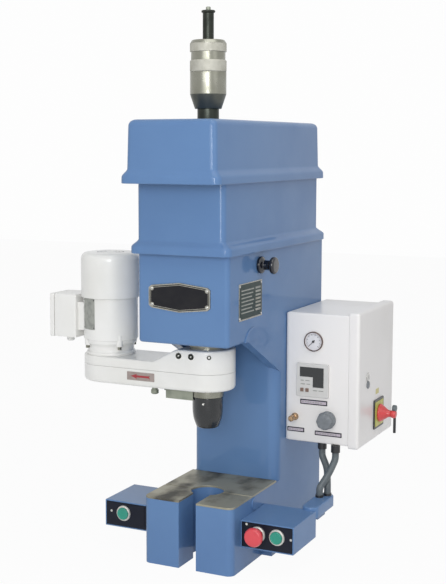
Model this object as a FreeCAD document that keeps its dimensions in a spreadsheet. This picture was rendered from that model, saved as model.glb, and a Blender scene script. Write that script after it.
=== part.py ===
import FreeCAD, Part
import Sketcher
import math
import os
import re
from FreeCAD import Placement, Rotation, Vector

# Bench orbital riveting press: a C-shaped cast frame with a slotted work table, a head
# that carries an air-driven quill, a belt-driven spindle hung from the quill with its
# own motor, two sheet covers over the air cylinder, a depth-setting knob on top, two
# start-button boxes beside the table and a control box on the right of the column.
#
# Frame of the model: millimetres, +Z up, +X to the operator's right, -Y towards the
# operator.  The origin is on the floor, on the axis of the spindle and the anvil bore.

SIZES = {
    # casting
    "body_half": 103,        # half width of head, column and table
    "table_front": 97,       # front of the table, measured forward of the axis
    "column_front": 135,     # front face of the column behind the axis
    "column_rear": 416,      # back face of the column
    "table_top": 144,        # working height of the table
    "plate_thick": 4,        # steel table plate
    "head_front": 119,       # front face of the head
    "throat_edge": 22,       # where the flat underside of the head turns into the gusset
    "head_bottom": 476,      # underside of the head
    "gusset_foot": 394,      # where the gusset meets the column
    "head_top": 660,         # joint between casting and lower cover
    "wall": 20,              # casting wall
    "floor_thick": 26,       # floor of the head and base
    "deck_thick": 20,        # deck under the air cylinder
    "deck_rear": 92,         # rear edge of that deck
    "corner_table": 15,
    "corner_head": 10,
    "corner_column": 24,
    "edge_round": 6,
    "slot_width": 40,        # slot from the anvil bore to the front of the table
    "anvil_radius": 35.5,    # bore for a stake or anvil
    "throat_groove": 3,      # locating groove across the table plate
    "lug_reach": 23,         # how far the foot lugs stand out
    "lug_length": 48,
    "lug_thick": 16,
    "lug_front": 56,
    "lug_rear": 336,
    "foot_bolt": 11,         # hole for an M10 foot bolt
    # covers
    "sheet": 4,              # wall of the covers
    "cover_half": 98.5,
    "cover_front": 131,
    "cover_back": 386,
    "cover_joint": 803,      # joint between lower and top cover
    "rim_half": 113,         # lower rim of the lower cover
    "rim_front": 138,
    "rim_back": 401,
    "rim_height": 21,
    "cap_half": 100.5,
    "cap_front": 174,
    "cap_back": 391,
    "cap_top": 930,
    "cap_rim_half": 110.5,
    "cap_rim_front": 181,
    "cap_rim_back": 400,
    "cap_rim_height": 17,
    "cover_corner": 14,
    "cap_round": 7,
    # air cylinder
    "flange_half": 64,       # half side of the square cylinder ends
    "flange_thick": 22,
    "barrel_length": 198,
    "barrel_bore": 60,       # radius
    "barrel_wall": 5,
    "tie_offset": 54,
    "tie_radius": 5,
    "slide_gap": 0.05,       # radial running clearance of slides and bores
    "body_gap": 0.3,         # room between pieces that move past each other
    "fit_gap": 0.2,          # radial clearance of bolts in their holes
    # depth stop
    "stroke": 45,
    "stop_gap": 55,          # rod flange above the knob with the ram up
    "sleeve_radius": 22.5,
    "rod_radius": 11.5,
    "knob_foot": 954,        # bottom of the adjusting knob
    "knob_cone": 30,         # height of its conical foot
    "knob_length": 99,       # bottom of the adjusting knob to the top of the gap ring
    "knob_radius": 38,
    "knob_foot_radius": 27.5,
    "ring_gap": 17,          # plain waist between the two knurled rings
    "ring_height": 24,       # locking ring on top
    "waist_radius": 35.5,
    "bush_outer": 17.5,      # thrust bush that the rod's flange lands on
    "flange_radius": 14.3,
    "flange_height": 6,
    # ram
    "quill_radius": 38,
    "bush_radius": 46,
    "boss_radius": 56,
    "neck_radius": 18,       # piston rod
    "quill_pocket": 80,      # depth of the bearing bore in the quill
    "piston_thick": 22,
    "piston_rest": 10,       # room above the piston with the ram up
    "guide_length": 164,
    # belt housing
    "housing_bottom": 367,
    "housing_joint": 405,
    "housing_deck": 425,
    "clamp_top": 455,        # top of the split boss that grips the quill
    "housing_radius": 59,
    "housing_wall": 6,
    "motor_reach": 237,      # spindle axis to motor axis
    "belt_plane": 392,
    "belt_width": 16,
    "belt_thick": 4,
    "spindle_pulley": 42,    # radius
    "motor_pulley": 30,      # radius
    "pulley_hub": 14,
    "spindle_radius": 12.5,
    # nose
    "ring_bottom": 350,
    "ring_radius": 34,
    "bearing_outer": 26,
    "bearing_height": 15,
    "nose_bottom": 283,
    "nose_radius": 32.5,
    "nose_tip_radius": 22,
    "nose_shoulder": 318,
    "holder_radius": 13,
    "holder_tilt": 4,
    "tilt_point": 22,        # tool point on the spindle axis, below the nose
    "recess": 1.2,           # tool holder set back from the end of the nose
    "holder_length": 48,
    "tool_radius": 4,
    "tool_depth": 32,
    # motor
    "shield_radius": 50,
    "shield_top": 457,
    "motor_radius": 60,
    "motor_top": 556,
    "fan_cover_radius": 65,
    "fan_cover_top": 648,
    "fan_radius": 48,
    "rotor_radius": 33,
    "motor_wall": 6,
    "shaft_radius": 7,
    "terminal_left": 372,
    "terminal_right": 305,
    "terminal_half": 38,
    "terminal_bottom": 458,
    "terminal_top": 553,
    # button boxes
    "box_reach": 221,        # outer end of each button box
    "box_front": 57,
    "box_back": 71,
    "box_bottom": 52,
    "box_top": 110,
    "panel_thick": 2,
    "button_height": 85,     # axis of the push buttons above the floor
    "button_bezel": 17,      # radius
    "button_cap": 13,        # radius
    "button_travel": 5,
    "left_button": 174,
    "right_button": 185,
    "stop_button": 142,
    "mushroom_radius": 20,
    "duct_inner": 188,
    "duct_outer": 224,
    "duct_back": 184,
    "duct_bottom": 93,
    "duct_top": 117,
    # control box
    "case_right": 250,
    "case_front": 182.5,
    "case_back": 427,
    "case_bottom": 226,
    "case_top": 514,
    "case_wall": 2.5,
    "door_outer": 274,
    "door_overlap": 6,
    "door_sheet": 2.5,
    "hinge_radius": 3.5,
    "gauge_x": 169,
    "gauge_z": 452,
    "gauge_radius": 22,
    "timer_x": 168.5,
    "timer_z": 366,
    "timer_side": 74,
    "timer_hole": 66,
    "valve_x": 127,
    "regulator_x": 203.5,
    "valve_z": 281,
    "isolator_y": 318,
    "isolator_z": 277,
    "lock_y": 242,
    "lock_z": 372,
    "side_knob_y": 34,
    "side_knob_z": 631,
    "side_stem": 5,
    "badge_x": -6,
    "badge_z": 573,
    "conduit_radius": 7.5,
    "gland_radius": 10,
}

NODES = {}

doc = FreeCAD.newDocument("riveting_press")
sheet = doc.addObject("Spreadsheet::Sheet", "Sizes")
for row, (alias, value) in enumerate(SIZES.items(), start=1):
    sheet.set("A%d" % row, alias)
    sheet.set("B%d" % row, str(value))
    sheet.setAlias("B%d" % row, alias)
doc.recompute()

WORD = re.compile(r"\b[a-z_]+\b")


def formula(text):
    """Turn 'head_top - wall' into the sheet's own 'Sizes.head_top - Sizes.wall'."""
    return WORD.sub(lambda m: "Sizes." + m.group(0) if m.group(0) in SIZES else m.group(0), str(text))


def bind(obj, prop, text):
    obj.setExpression(prop, formula(text))


def place(obj, x, y, z, rotation=None):
    """Bind the placement's base to formulas, with a fixed turn."""
    obj.Placement = Placement(Vector(0, 0, 0), rotation or Rotation())
    bind(obj, ".Placement.Base.x", x)
    bind(obj, ".Placement.Base.y", y)
    bind(obj, ".Placement.Base.z", z)
    return obj


ALONG = {
    "z": Rotation(),
    "x": Rotation(Vector(0, 1, 0), 90),
    "y": Rotation(Vector(1, 0, 0), -90),
    "-y": Rotation(Vector(1, 0, 0), 90),
}


def box(name, x0, x1, y0, y1, z0, z1):
    obj = doc.addObject("Part::Box", name)
    bind(obj, "Length", "(%s) - (%s)" % (x1, x0))
    bind(obj, "Width", "(%s) - (%s)" % (y1, y0))
    bind(obj, "Height", "(%s) - (%s)" % (z1, z0))
    return place(obj, x0, y0, z0)


def rod(name, radius, length, x, y, z, along="z"):
    """A cylinder that starts at x, y, z and runs along the named axis."""
    obj = doc.addObject("Part::Cylinder", name)
    bind(obj, "Radius", radius)
    bind(obj, "Height", length)
    return place(obj, x, y, z, ALONG[along])


def cone(name, radius1, radius2, length, x, y, z, along="z"):
    obj = doc.addObject("Part::Cone", name)
    bind(obj, "Radius1", radius1)
    bind(obj, "Radius2", radius2)
    bind(obj, "Height", length)
    return place(obj, x, y, z, ALONG[along])


def fuse(name, pieces):
    obj = doc.addObject("Part::MultiFuse", name)
    obj.Shapes = pieces
    obj.Refine = True
    return obj


def cut(name, base, tools):
    obj = doc.addObject("Part::Cut", name)
    obj.Base = base
    obj.Tool = tools[0] if len(tools) == 1 else fuse(name + "_tools", tools)
    obj.Refine = True
    return obj


def tube(name, outer, inner, length, x, y, z, along="z"):
    """A ring or sleeve; the bore starts with the wall and ends with it."""
    wall = rod(name + "_outer", outer, length, x, y, z, along)
    bore = rod(name + "_bore", inner, length, x, y, z, along)
    return cut(name + "_ring", wall, [bore])


def group(name, pieces):
    """Several separate solids that make one sub-part."""
    obj = doc.addObject("Part::Compound", name)
    obj.Links = pieces
    return obj


def node(name, obj):
    obj.Label = name
    NODES[name] = obj
    return obj


# --- PartDesign helpers -------------------------------------------------------------

def body(name):
    obj = doc.addObject("PartDesign::Body", name)
    return obj


def plane(owner, role):
    return next(f for f in owner.Origin.OriginFeatures if f.Role == role)


def outline(owner, name, role, corners, offset="0"):
    """A closed sketch whose corners are formula pairs in the plane's own axes."""
    sketch = owner.newObject("Sketcher::SketchObject", name)
    sketch.AttachmentSupport = (plane(owner, role), [""])
    sketch.MapMode = "FlatFace"
    bind(sketch, ".AttachmentOffset.Base.z", offset)
    values = []
    for pair in corners:
        values.append(Vector(*[float(value_of(text)) for text in pair], 0))
    count = len(corners)
    for i in range(count):
        sketch.addGeometry(Part.LineSegment(values[i], values[(i + 1) % count]), False)
    for i in range(count):
        sketch.addConstraint(Sketcher.Constraint("Coincident", i, 2, (i + 1) % count, 1))
    for i, pair in enumerate(corners):
        for kind, text, value in (("DistanceX", pair[0], values[i].x), ("DistanceY", pair[1], values[i].y)):
            index = sketch.addConstraint(Sketcher.Constraint(kind, i, 1, value))
            bind(sketch, "Constraints[%d]" % index, text)
    return sketch


def circle(owner, name, role, radius, x="0", y="0", offset="0"):
    sketch = owner.newObject("Sketcher::SketchObject", name)
    sketch.AttachmentSupport = (plane(owner, role), [""])
    sketch.MapMode = "FlatFace"
    bind(sketch, ".AttachmentOffset.Base.z", offset)
    centre = Vector(value_of(x), value_of(y), 0)
    sketch.addGeometry(Part.Circle(centre, Vector(0, 0, 1), value_of(radius)), False)
    for kind, text, value in (("DistanceX", x, centre.x), ("DistanceY", y, centre.y)):
        index = sketch.addConstraint(Sketcher.Constraint(kind, 0, 3, value))
        bind(sketch, "Constraints[%d]" % index, text)
    index = sketch.addConstraint(Sketcher.Constraint("Radius", 0, value_of(radius)))
    bind(sketch, "Constraints[%d]" % index, radius)
    return sketch


def value_of(text):
    """The present value of a formula, from the sheet."""
    return float(sheet.evalExpression(re.sub(r"\bSizes\.", "", formula(text))))


def pad(owner, name, sketch, length, reverse=False, middle=False):
    obj = owner.newObject("PartDesign::Pad", name)
    obj.Profile = sketch
    bind(obj, "Length", length)
    obj.Midplane = middle
    obj.Reversed = reverse
    return obj


def pocket(owner, name, sketch, length, reverse=False, middle=False):
    doc.recompute()
    before = owner.Tip.Shape.Volume
    obj = owner.newObject("PartDesign::Pocket", name)
    obj.Profile = sketch
    bind(obj, "Length", length)
    obj.Midplane = middle
    obj.Reversed = reverse
    doc.recompute()
    if not obj.Shape.Volume < before - 0.5:
        raise ValueError("pocket %s removes nothing" % name)
    return obj


def round_edges(owner, name, pick, radius):
    """Fillet the edges of the present tip for which pick(edge) is true."""
    doc.recompute()
    tip = owner.Tip
    names = ["Edge%d" % (i + 1) for i, edge in enumerate(tip.Shape.Edges) if pick(edge)]
    if not names:
        raise ValueError("no edge for " + name)
    obj = owner.newObject("PartDesign::Fillet", name)
    obj.Base = (tip, names)
    bind(obj, "Radius", radius)
    return obj


def turned(name, corners, x="0", y="0", z="0"):
    """A body turned about its own Z axis from an outline of (radius, height) pairs."""
    owner = body(name)
    sketch = outline(owner, name + "_profile", "XZ_Plane", corners)
    obj = owner.newObject("PartDesign::Revolution", name + "_turn")
    obj.Profile = sketch
    obj.ReferenceAxis = (sketch, ["V_Axis"])
    obj.Angle = 360
    place(owner, x, y, z)
    return owner


def upright(edge):
    """True for a straight edge that runs along Z."""
    box_ = edge.BoundBox
    return box_.ZLength > 1 and box_.XLength < 0.01 and box_.YLength < 0.01


def at(edge, axis, value, slack=0.05):
    """True when the whole edge lies at one value of X, Y or Z."""
    box_ = edge.BoundBox
    low = getattr(box_, axis + "Min")
    high = getattr(box_, axis + "Max")
    return abs(low - value) < slack and abs(high - value) < slack


def rectangle(x0, x1, y0, y1):
    return [(x0, y0), (x1, y0), (x1, y1), (x0, y1)]


# --- frame casting ------------------------------------------------------------------

casting = body("frame_casting_body")
side_view = outline(casting, "casting_side", "YZ_Plane", [
    ("-table_front", "0"),
    ("column_rear", "0"),
    ("column_rear", "head_top"),
    ("-head_front", "head_top"),
    ("-head_front", "head_bottom"),
    ("-throat_edge", "head_bottom"),
    ("column_front", "gusset_foot"),
    ("column_front", "table_top - plate_thick"),
    ("-table_front", "table_top - plate_thick"),
])
pad(casting, "casting_block", side_view, "2 * body_half", middle=True)
FRONT = value_of("-head_front")
COLUMN = value_of("column_front")
TABLE = value_of("-table_front")
REAR = value_of("column_rear")
round_edges(casting, "casting_head_corners", lambda e: upright(e) and at(e, "Y", FRONT), "corner_head")
round_edges(casting, "casting_column_corners", lambda e: upright(e) and at(e, "Y", COLUMN), "corner_column")
round_edges(casting, "casting_table_corners", lambda e: upright(e) and at(e, "Y", TABLE), "corner_table")
round_edges(casting, "casting_rear_corners", lambda e: upright(e) and at(e, "Y", REAR), "corner_table")
BELOW = value_of("head_bottom")
round_edges(
    casting, "casting_head_edge",
    lambda e: at(e, "Z", BELOW) and at(e, "Y", FRONT), "edge_round")
column_space = outline(casting, "column_space", "YZ_Plane", [
    ("column_front + wall", "floor_thick"),
    ("column_rear + 1", "floor_thick"),
    ("column_rear + 1", "head_top + 1"),
    ("deck_rear", "head_top + 1"),
    ("deck_rear", "head_bottom + floor_thick"),
    ("column_front + wall", "head_bottom + floor_thick"),
])
pocket(casting, "column_hollow", column_space, "2 * (body_half - wall)", middle=True)
head_space = outline(casting, "head_space", "YZ_Plane", [
    ("-head_front + wall", "head_bottom + floor_thick"),
    ("deck_rear + 1", "head_bottom + floor_thick"),
    ("deck_rear + 1", "head_top - deck_thick"),
    ("-head_front + wall", "head_top - deck_thick"),
])
pocket(casting, "head_hollow", head_space, "2 * (body_half - wall)", middle=True)
gusset_space = outline(casting, "gusset_space", "YZ_Plane", [
    ("-throat_edge - 1", "gusset_foot - 1"),
    ("column_front", "gusset_foot - 1"),
    ("column_front", "head_bottom"),
    ("-throat_edge - 1", "head_bottom"),
])
pocket(casting, "gusset_recess", gusset_space, "2 * (body_half - wall)", middle=True)
boss = circle(casting, "quill_boss_circle", "XY_Plane", "boss_radius", offset="head_bottom + floor_thick / 2")
pad(casting, "quill_boss", boss, "head_top - deck_thick / 2 - head_bottom - floor_thick / 2")
doc.recompute()
quill_hole = circle(casting, "quill_hole_circle", "XY_Plane", "bush_radius", offset="head_bottom - 1")
pocket(casting, "quill_hole", quill_hole, "head_top - head_bottom - deck_thick + 1", reverse=True)
neck_hole = circle(casting, "neck_hole_circle", "XY_Plane", "neck_radius + 2", offset="head_bottom")
pocket(casting, "neck_hole", neck_hole, "head_top - head_bottom + 1", reverse=True)
anvil_hole = circle(casting, "anvil_hole_circle", "XY_Plane", "anvil_radius", offset="-1")
pocket(casting, "anvil_hole", anvil_hole, "table_top + 2", reverse=True)
slot_plan = outline(casting, "slot_plan", "XY_Plane", rectangle(
    "-slot_width / 2", "slot_width / 2", "-table_front - 1", "0"), offset="-1")
pocket(casting, "front_slot", slot_plan, "table_top + 2", reverse=True)
lugs = []
for side in (-1, 1):
    for row_name in ("front", "rear"):
        tag = "%s_%s" % ("left" if side < 0 else "right", row_name)
        start = "lug_" + row_name
        inner = "body_half - 1" if side > 0 else "-body_half - lug_reach"
        outer = "body_half + lug_reach" if side > 0 else "-body_half + 1"
        lug = box("lug_" + tag, inner, outer, start, start + " + lug_length", "0", "lug_thick")
        hole = rod(
            "lug_hole_" + tag, "foot_bolt / 2", "lug_thick + 2",
            "%d * (body_half + lug_reach / 2)" % side, start + " + lug_length / 2", "-1")
        lugs.append(cut("lug_bored_" + tag, lug, [hole]))
throat_boss = cut("throat_boss", rod(
    "throat_boss_disc", "40", "3", "body_half - 1", "-2", "head_bottom - 12", "x"), [
        box(
            "throat_boss_trim", "body_half - 2", "body_half + 4", "-60", "60", "head_bottom - 60",
            "head_bottom + 1")])
table_bump = rod("table_bump", "13", "3.5", "body_half - 1", "12", "table_top - plate_thick - 14", "x")
knob_hole = rod(
    "side_knob_hole", "side_stem + slide_gap", "wall + 2", "body_half - wall - 1", "side_knob_y",
    "side_knob_z", "x")
casting_full = cut("frame_casting_full", fuse(
    "frame_casting_solid", [casting] + lugs + [throat_boss, table_bump]), [knob_hole])
node("frame_casting", casting_full)

# --- table plate --------------------------------------------------------------------

plate = body("table_plate_body")
pad(plate, "plate_block", outline(plate, "plate_plan", "XY_Plane", rectangle(
    "-body_half", "body_half", "-table_front", "column_front"),
    offset="table_top - plate_thick"), "plate_thick")
round_edges(plate, "plate_corners", lambda e: upright(e) and at(e, "Y", TABLE), "corner_table")
pocket(plate, "plate_bore", circle(
    plate, "plate_bore_circle", "XY_Plane", "anvil_radius", offset="table_top - plate_thick - 1"),
    "plate_thick + 2", reverse=True)
pocket(plate, "plate_slot", outline(plate, "plate_slot_plan", "XY_Plane", rectangle(
    "-slot_width / 2", "slot_width / 2", "-table_front - 1", "0"),
    offset="table_top - plate_thick - 1"), "plate_thick + 2", reverse=True)
for side, start in ((-1, "-body_half - 1"), (1, "anvil_radius - 1")):
    pocket(plate, "plate_groove_%s" % ("left" if side < 0 else "right"), outline(
        plate, "plate_groove_plan_%s" % ("left" if side < 0 else "right"), "XY_Plane", rectangle(
            start, start + " + body_half - anvil_radius + 2", "-throat_groove / 2", "throat_groove / 2"),
        offset="table_top - 1.2"), "3", reverse=True)
node("table_plate", plate)

# --- rear cover of the column -------------------------------------------------------

rear_cover = box(
    "rear_cover_sheet", "-body_half + 12", "body_half - 12", "column_rear", "column_rear + 3",
    "floor_thick + 14", "head_top - 12")
node("rear_cover", rear_cover)

# --- covers -------------------------------------------------------------------------

def outside(edge, half, front, back):
    """True when the edge reaches beyond the wall of a cover: it is on the outer rim."""
    box_ = edge.BoundBox
    return (
        box_.XMax > half + 2 or box_.XMin < -half - 2
        or box_.YMin < -front - 2 or box_.YMax > back + 2)


def cover(name, foot, head, wall_sizes, rim_sizes, top_round):
    """A cast cover: an upright wall with a broader rounded rim round its foot."""
    owner = body(name + "_body")
    half, front, back, wall_corner = wall_sizes
    rim_half, rim_front, rim_back, rim_height = rim_sizes
    pad(owner, name + "_wall", outline(owner, name + "_wall_plan", "XY_Plane", rectangle(
        "-" + half, half, "-" + front, back), offset=foot), "%s - (%s)" % (head, foot))
    round_edges(owner, name + "_wall_corners", upright, wall_corner)
    if top_round:
        level = value_of(head)
        round_edges(owner, name + "_top_round", lambda e: at(e, "Z", level), top_round)
    pad(owner, name + "_rim", outline(owner, name + "_rim_plan", "XY_Plane", rectangle(
        "-" + rim_half, rim_half, "-" + rim_front, rim_back), offset=foot), rim_height)
    limits = [value_of(text) for text in (half, front, back)]
    round_edges(
        owner, name + "_rim_corners",
        lambda e: upright(e) and outside(e, *limits), "cover_corner")
    level_rim = value_of("%s + %s" % (foot, rim_height))
    round_edges(
        owner, name + "_rim_round",
        lambda e: at(e, "Z", level_rim) and outside(e, *limits), "edge_round")
    return owner


lower = cover(
    "lower_cover", "head_top", "cover_joint",
    ("cover_half", "cover_front", "cover_back", "cover_corner - 4"),
    ("rim_half", "rim_front", "rim_back", "rim_height"), None)
pocket(lower, "lower_inside", outline(lower, "lower_inside_plan", "XY_Plane", rectangle(
    "-cover_half + sheet", "cover_half - sheet", "-cover_front + sheet", "cover_back - sheet"),
    offset="head_top + sheet"), "cover_joint - head_top", reverse=True)
pocket(lower, "lower_mouth", outline(lower, "lower_mouth_plan", "XY_Plane", rectangle(
    "-body_half + wall", "body_half - wall", "-head_front + wall - 8", "cover_back - sheet"),
    offset="head_top - 1"), "sheet + 2", reverse=True)
node("lower_cover", lower)

top = cover(
    "top_cover", "cover_joint", "cap_top",
    ("cap_half", "cap_front", "cap_back", "cover_corner"),
    ("cap_rim_half", "cap_rim_front", "cap_rim_back", "cap_rim_height"), "cap_round")
pocket(top, "top_inside", outline(top, "top_inside_plan", "XY_Plane", rectangle(
    "-cap_half + sheet", "cap_half - sheet", "-cap_front + sheet", "cap_back - sheet"),
    offset="cover_joint + sheet"), "cap_top - cover_joint - 2 * sheet", reverse=True)
pocket(top, "top_mouth", outline(top, "top_mouth_plan", "XY_Plane", rectangle(
    "-cover_half + sheet", "cover_half - sheet", "-cover_front + sheet", "cover_back - sheet"),
    offset="cover_joint - 1"), "sheet + 2", reverse=True)
pocket(top, "top_sleeve_hole", circle(
    top, "top_sleeve_circle", "XY_Plane", "sleeve_radius + fit_gap", offset="cap_top - 2 * sheet"),
    "3 * sheet", reverse=True)
node("top_cover", top)

# --- air cylinder -------------------------------------------------------------------

CYLINDER_FOOT = "head_top"
BARREL_FOOT = "head_top + flange_thick"
BARREL_HEAD = "head_top + flange_thick + barrel_length"
CYLINDER_HEAD = "head_top + 2 * flange_thick + barrel_length"
barrel = tube(
    "barrel", "barrel_bore + barrel_wall", "barrel_bore", "barrel_length", "0", "0", BARREL_FOOT)
node("cylinder_barrel", barrel)
caps = []
for tag, foot, hole in (
        ("foot", CYLINDER_FOOT, "neck_radius + slide_gap"),
        ("head", BARREL_HEAD, "rod_radius + slide_gap")):
    block = box(
        "cap_block_" + tag, "-flange_half", "flange_half", "-flange_half", "flange_half",
        foot, foot + " + flange_thick")
    holes = [rod("cap_bore_" + tag, hole, "flange_thick", "0", "0", foot)]
    for sx in (-1, 1):
        for sy in (-1, 1):
            holes.append(rod(
                "cap_tie_%s_%d_%d" % (tag, sx + 1, sy + 1), "tie_radius + fit_gap", "flange_thick",
                "%d * tie_offset" % sx, "%d * tie_offset" % sy, foot))
    caps.append(cut("cap_" + tag, block, holes))
node("cylinder_caps", group("cylinder_caps_pair", caps))
ties = []
for sx in (-1, 1):
    for sy in (-1, 1):
        tag = "%d_%d" % (sx + 1, sy + 1)
        shank = rod(
            "tie_shank_" + tag, "tie_radius", "2 * flange_thick + barrel_length + 12",
            "%d * tie_offset" % sx, "%d * tie_offset" % sy, CYLINDER_FOOT)
        nut = rod(
            "tie_nut_" + tag, "tie_radius + 4", "8",
            "%d * tie_offset" % sx, "%d * tie_offset" % sy, CYLINDER_HEAD)
        ties.append(fuse("tie_" + tag, [shank, nut]))
node("tie_rods", group("tie_rod_set", ties))
sleeve_top = "knob_foot + knob_length - 20 - (%s)" % CYLINDER_HEAD
sleeve_neck = "cap_top - 2 * sheet - (%s)" % CYLINDER_HEAD
sleeve = turned("stop_sleeve_body", [
    ("rod_radius + 1", "0"),
    ("sleeve_radius + 8", "0"),
    ("sleeve_radius + 8", sleeve_neck),
    ("sleeve_radius", sleeve_neck),
    ("sleeve_radius", sleeve_top),
    ("rod_radius + 1", sleeve_top),
], z=CYLINDER_HEAD)
node("stop_sleeve", sleeve)

# --- depth-setting knob -------------------------------------------------------------

nut = turned("adjusting_nut_body", [
    ("sleeve_radius + body_gap", "0"),
    ("knob_foot_radius", "0"),
    ("knob_radius", "knob_cone"),
    ("knob_radius", "knob_length - 1"),
    ("knob_radius - 1", "knob_length"),
    ("waist_radius", "knob_length"),
    ("waist_radius", "knob_length + ring_gap"),
    ("bush_outer + body_gap", "knob_length + ring_gap"),
    ("bush_outer + body_gap", "knob_length - 3"),
    ("sleeve_radius + body_gap", "knob_length - 3"),
], z="knob_foot")
node("adjusting_nut", nut)
ring = turned("lock_nut_body", [
    ("bush_outer + body_gap", "0"),
    ("knob_radius - 1", "0"),
    ("knob_radius", "1"),
    ("knob_radius", "ring_height - 5"),
    ("knob_radius - 4", "ring_height"),
    ("bush_outer + body_gap", "ring_height"),
], z="knob_foot + knob_length + ring_gap")
node("lock_nut", ring)
stop = turned("stop_bush_body", [
    ("rod_radius + body_gap", "0"),
    ("bush_outer", "0"),
    ("bush_outer", "ring_gap + ring_height + 3"),
    ("rod_radius + body_gap", "ring_gap + ring_height + 3"),
], z="knob_foot + knob_length - 3")
node("stop_bush", stop)

# --- quill bush ---------------------------------------------------------------------

bush = turned("quill_bush_body", [
    ("quill_radius + slide_gap", "0"),
    ("bush_radius", "0"),
    ("bush_radius", "guide_length"),
    ("quill_radius + slide_gap", "guide_length"),
], z="head_bottom")
node("quill_bush", bush)

# --- ram: quill, piston and stop rod ------------------------------------------------

PISTON_TOP = "(%s) - piston_rest" % BARREL_HEAD
quill = turned("quill_body", [
    ("bearing_outer", "0"),
    ("quill_radius", "0"),
    ("quill_radius", "head_top - deck_thick - housing_deck - 4"),
    ("neck_radius", "head_top - deck_thick - housing_deck - 4"),
    ("neck_radius", PISTON_TOP + " - piston_thick - housing_deck"),
    ("0", PISTON_TOP + " - piston_thick - housing_deck"),
    ("0", "quill_pocket"),
    ("bearing_outer", "quill_pocket"),
], z="housing_deck")
node("quill", quill)
piston = turned("piston_body", [
    ("0", "-piston_thick"),
    ("barrel_bore - slide_gap", "-piston_thick"),
    ("barrel_bore - slide_gap", "0"),
    ("0", "0"),
], z=PISTON_TOP)
node("piston", piston)
rod_top = "knob_foot + knob_length + ring_gap + ring_height + stop_gap - (%s)" % PISTON_TOP
stop_rod = turned("stop_rod_body", [
    ("0", "0"),
    ("rod_radius", "0"),
    ("rod_radius", rod_top),
    ("flange_radius", rod_top),
    ("flange_radius", rod_top + " + flange_height"),
    ("5", rod_top + " + flange_height"),
    ("5", rod_top + " + flange_height + 7"),
    ("0", rod_top + " + flange_height + 7"),
], z=PISTON_TOP)
node("stop_rod", stop_rod)

# --- belt housing -------------------------------------------------------------------

def racetrack(name, radius, x_end, length, z):
    """Two cylinders and the block between them: the plan of the belt housing."""
    return fuse(name, [
        rod(name + "_spindle_end", radius, length, "0", "0", z),
        rod(name + "_motor_end", radius, length, x_end, "0", z),
        box(name + "_middle", x_end, "0", "-(%s)" % radius, radius, z, "%s + %s" % (z, length)),
    ])


MOTOR = "-motor_reach"
cover_shell = racetrack(
    "housing_cover_plan", "housing_radius", MOTOR, "housing_deck - housing_joint", "housing_joint")
boss_high = rod("housing_boss", "housing_radius", "clamp_top - housing_joint", "0", "0", "housing_joint")
ramp = body("housing_ramp")
pad(ramp, "ramp_block", outline(ramp, "ramp_side", "XZ_Plane", [
    ("-97", "housing_deck"),
    ("0", "housing_deck"),
    ("0", "clamp_top"),
    ("-44", "clamp_top"),
]), "2 * housing_radius", middle=True)
cover_hollow = racetrack(
    "housing_cover_hollow", "housing_radius - housing_wall", MOTOR,
    "housing_deck - housing_joint - housing_wall", "housing_joint")
quill_grip = rod("quill_grip", "quill_radius", "clamp_top", "0", "0", "housing_deck")
spindle_port = rod(
    "spindle_port", "bearing_outer", "housing_wall + 2", "0", "0", "housing_deck - housing_wall - 1")
motor_port = rod(
    "motor_port", "shield_radius - 18", "housing_wall + 2", MOTOR, "0", "housing_deck - housing_wall - 1")
clamp_holes = []
CLAMP_BOLTS = (-39, -10, 28)
for index, x in enumerate(CLAMP_BOLTS):
    clamp_holes.append(rod(
        "clamp_hole_%d" % index, "4 + fit_gap", "housing_radius", str(x), "-housing_radius - 1",
        "clamp_top - 13", "y"))
    clamp_holes.append(rod(
        "clamp_seat_%d" % index, "7.2", "housing_radius - sqrt(housing_radius ^ 2 - %d ^ 2) + 8" % x, str(x),
        "-housing_radius - 4", "clamp_top - 13", "y"))
housing_upper = cut("housing_upper_full", fuse(
    "housing_upper_solid", [cover_shell, boss_high, ramp]),
    [cover_hollow, quill_grip, spindle_port, motor_port] + clamp_holes)
node("housing_upper", housing_upper)
tray_solid = racetrack(
    "tray_plan", "housing_radius", MOTOR, "housing_joint - housing_bottom", "housing_bottom")
tray_hollow = racetrack(
    "tray_hollow", "housing_radius - housing_wall", MOTOR,
    "housing_joint - housing_bottom", "housing_bottom + housing_wall")
tray_port = rod("tray_port", "ring_radius - 4", "housing_wall + 2", "0", "0", "housing_bottom - 1")
housing_lower = cut("housing_lower_full", tray_solid, [tray_hollow, tray_port])
node("housing_lower", housing_lower)
bolts = []
for index, x in enumerate(CLAMP_BOLTS):
    start = "-sqrt(housing_radius ^ 2 - %d ^ 2) + 4" % x
    bolts.append(fuse("clamp_bolt_%d" % index, [
        rod("clamp_shank_%d" % index, "4", "housing_radius - quill_radius - 4", str(x), start,
            "clamp_top - 13", "y"),
        rod("clamp_head_%d" % index, "6.5" if index < 2 else "5.2", "7" if index < 2 else "3",
            str(x), start + " - %s" % ("7" if index < 2 else "3"), "clamp_top - 13", "y"),
    ]))
node("clamp_bolts", group("clamp_bolt_set", bolts))
bracket = cut("tension_bracket", box(
    "bracket_block", "-93", "-ring_radius - 2", "-30", "30", "housing_bottom - 25", "housing_bottom"), [
        rod("bracket_notch", "11", "62", "-94", "-31", "housing_bottom - 6", "y")])
tension_stud = rod("tension_stud", "8.5", "20", "-117", "-20", "housing_bottom - 20")
node("bearing_bracket", group("bearing_bracket_set", [bracket, tension_stud]))

# --- nose ring, bearings and belt ---------------------------------------------------

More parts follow.
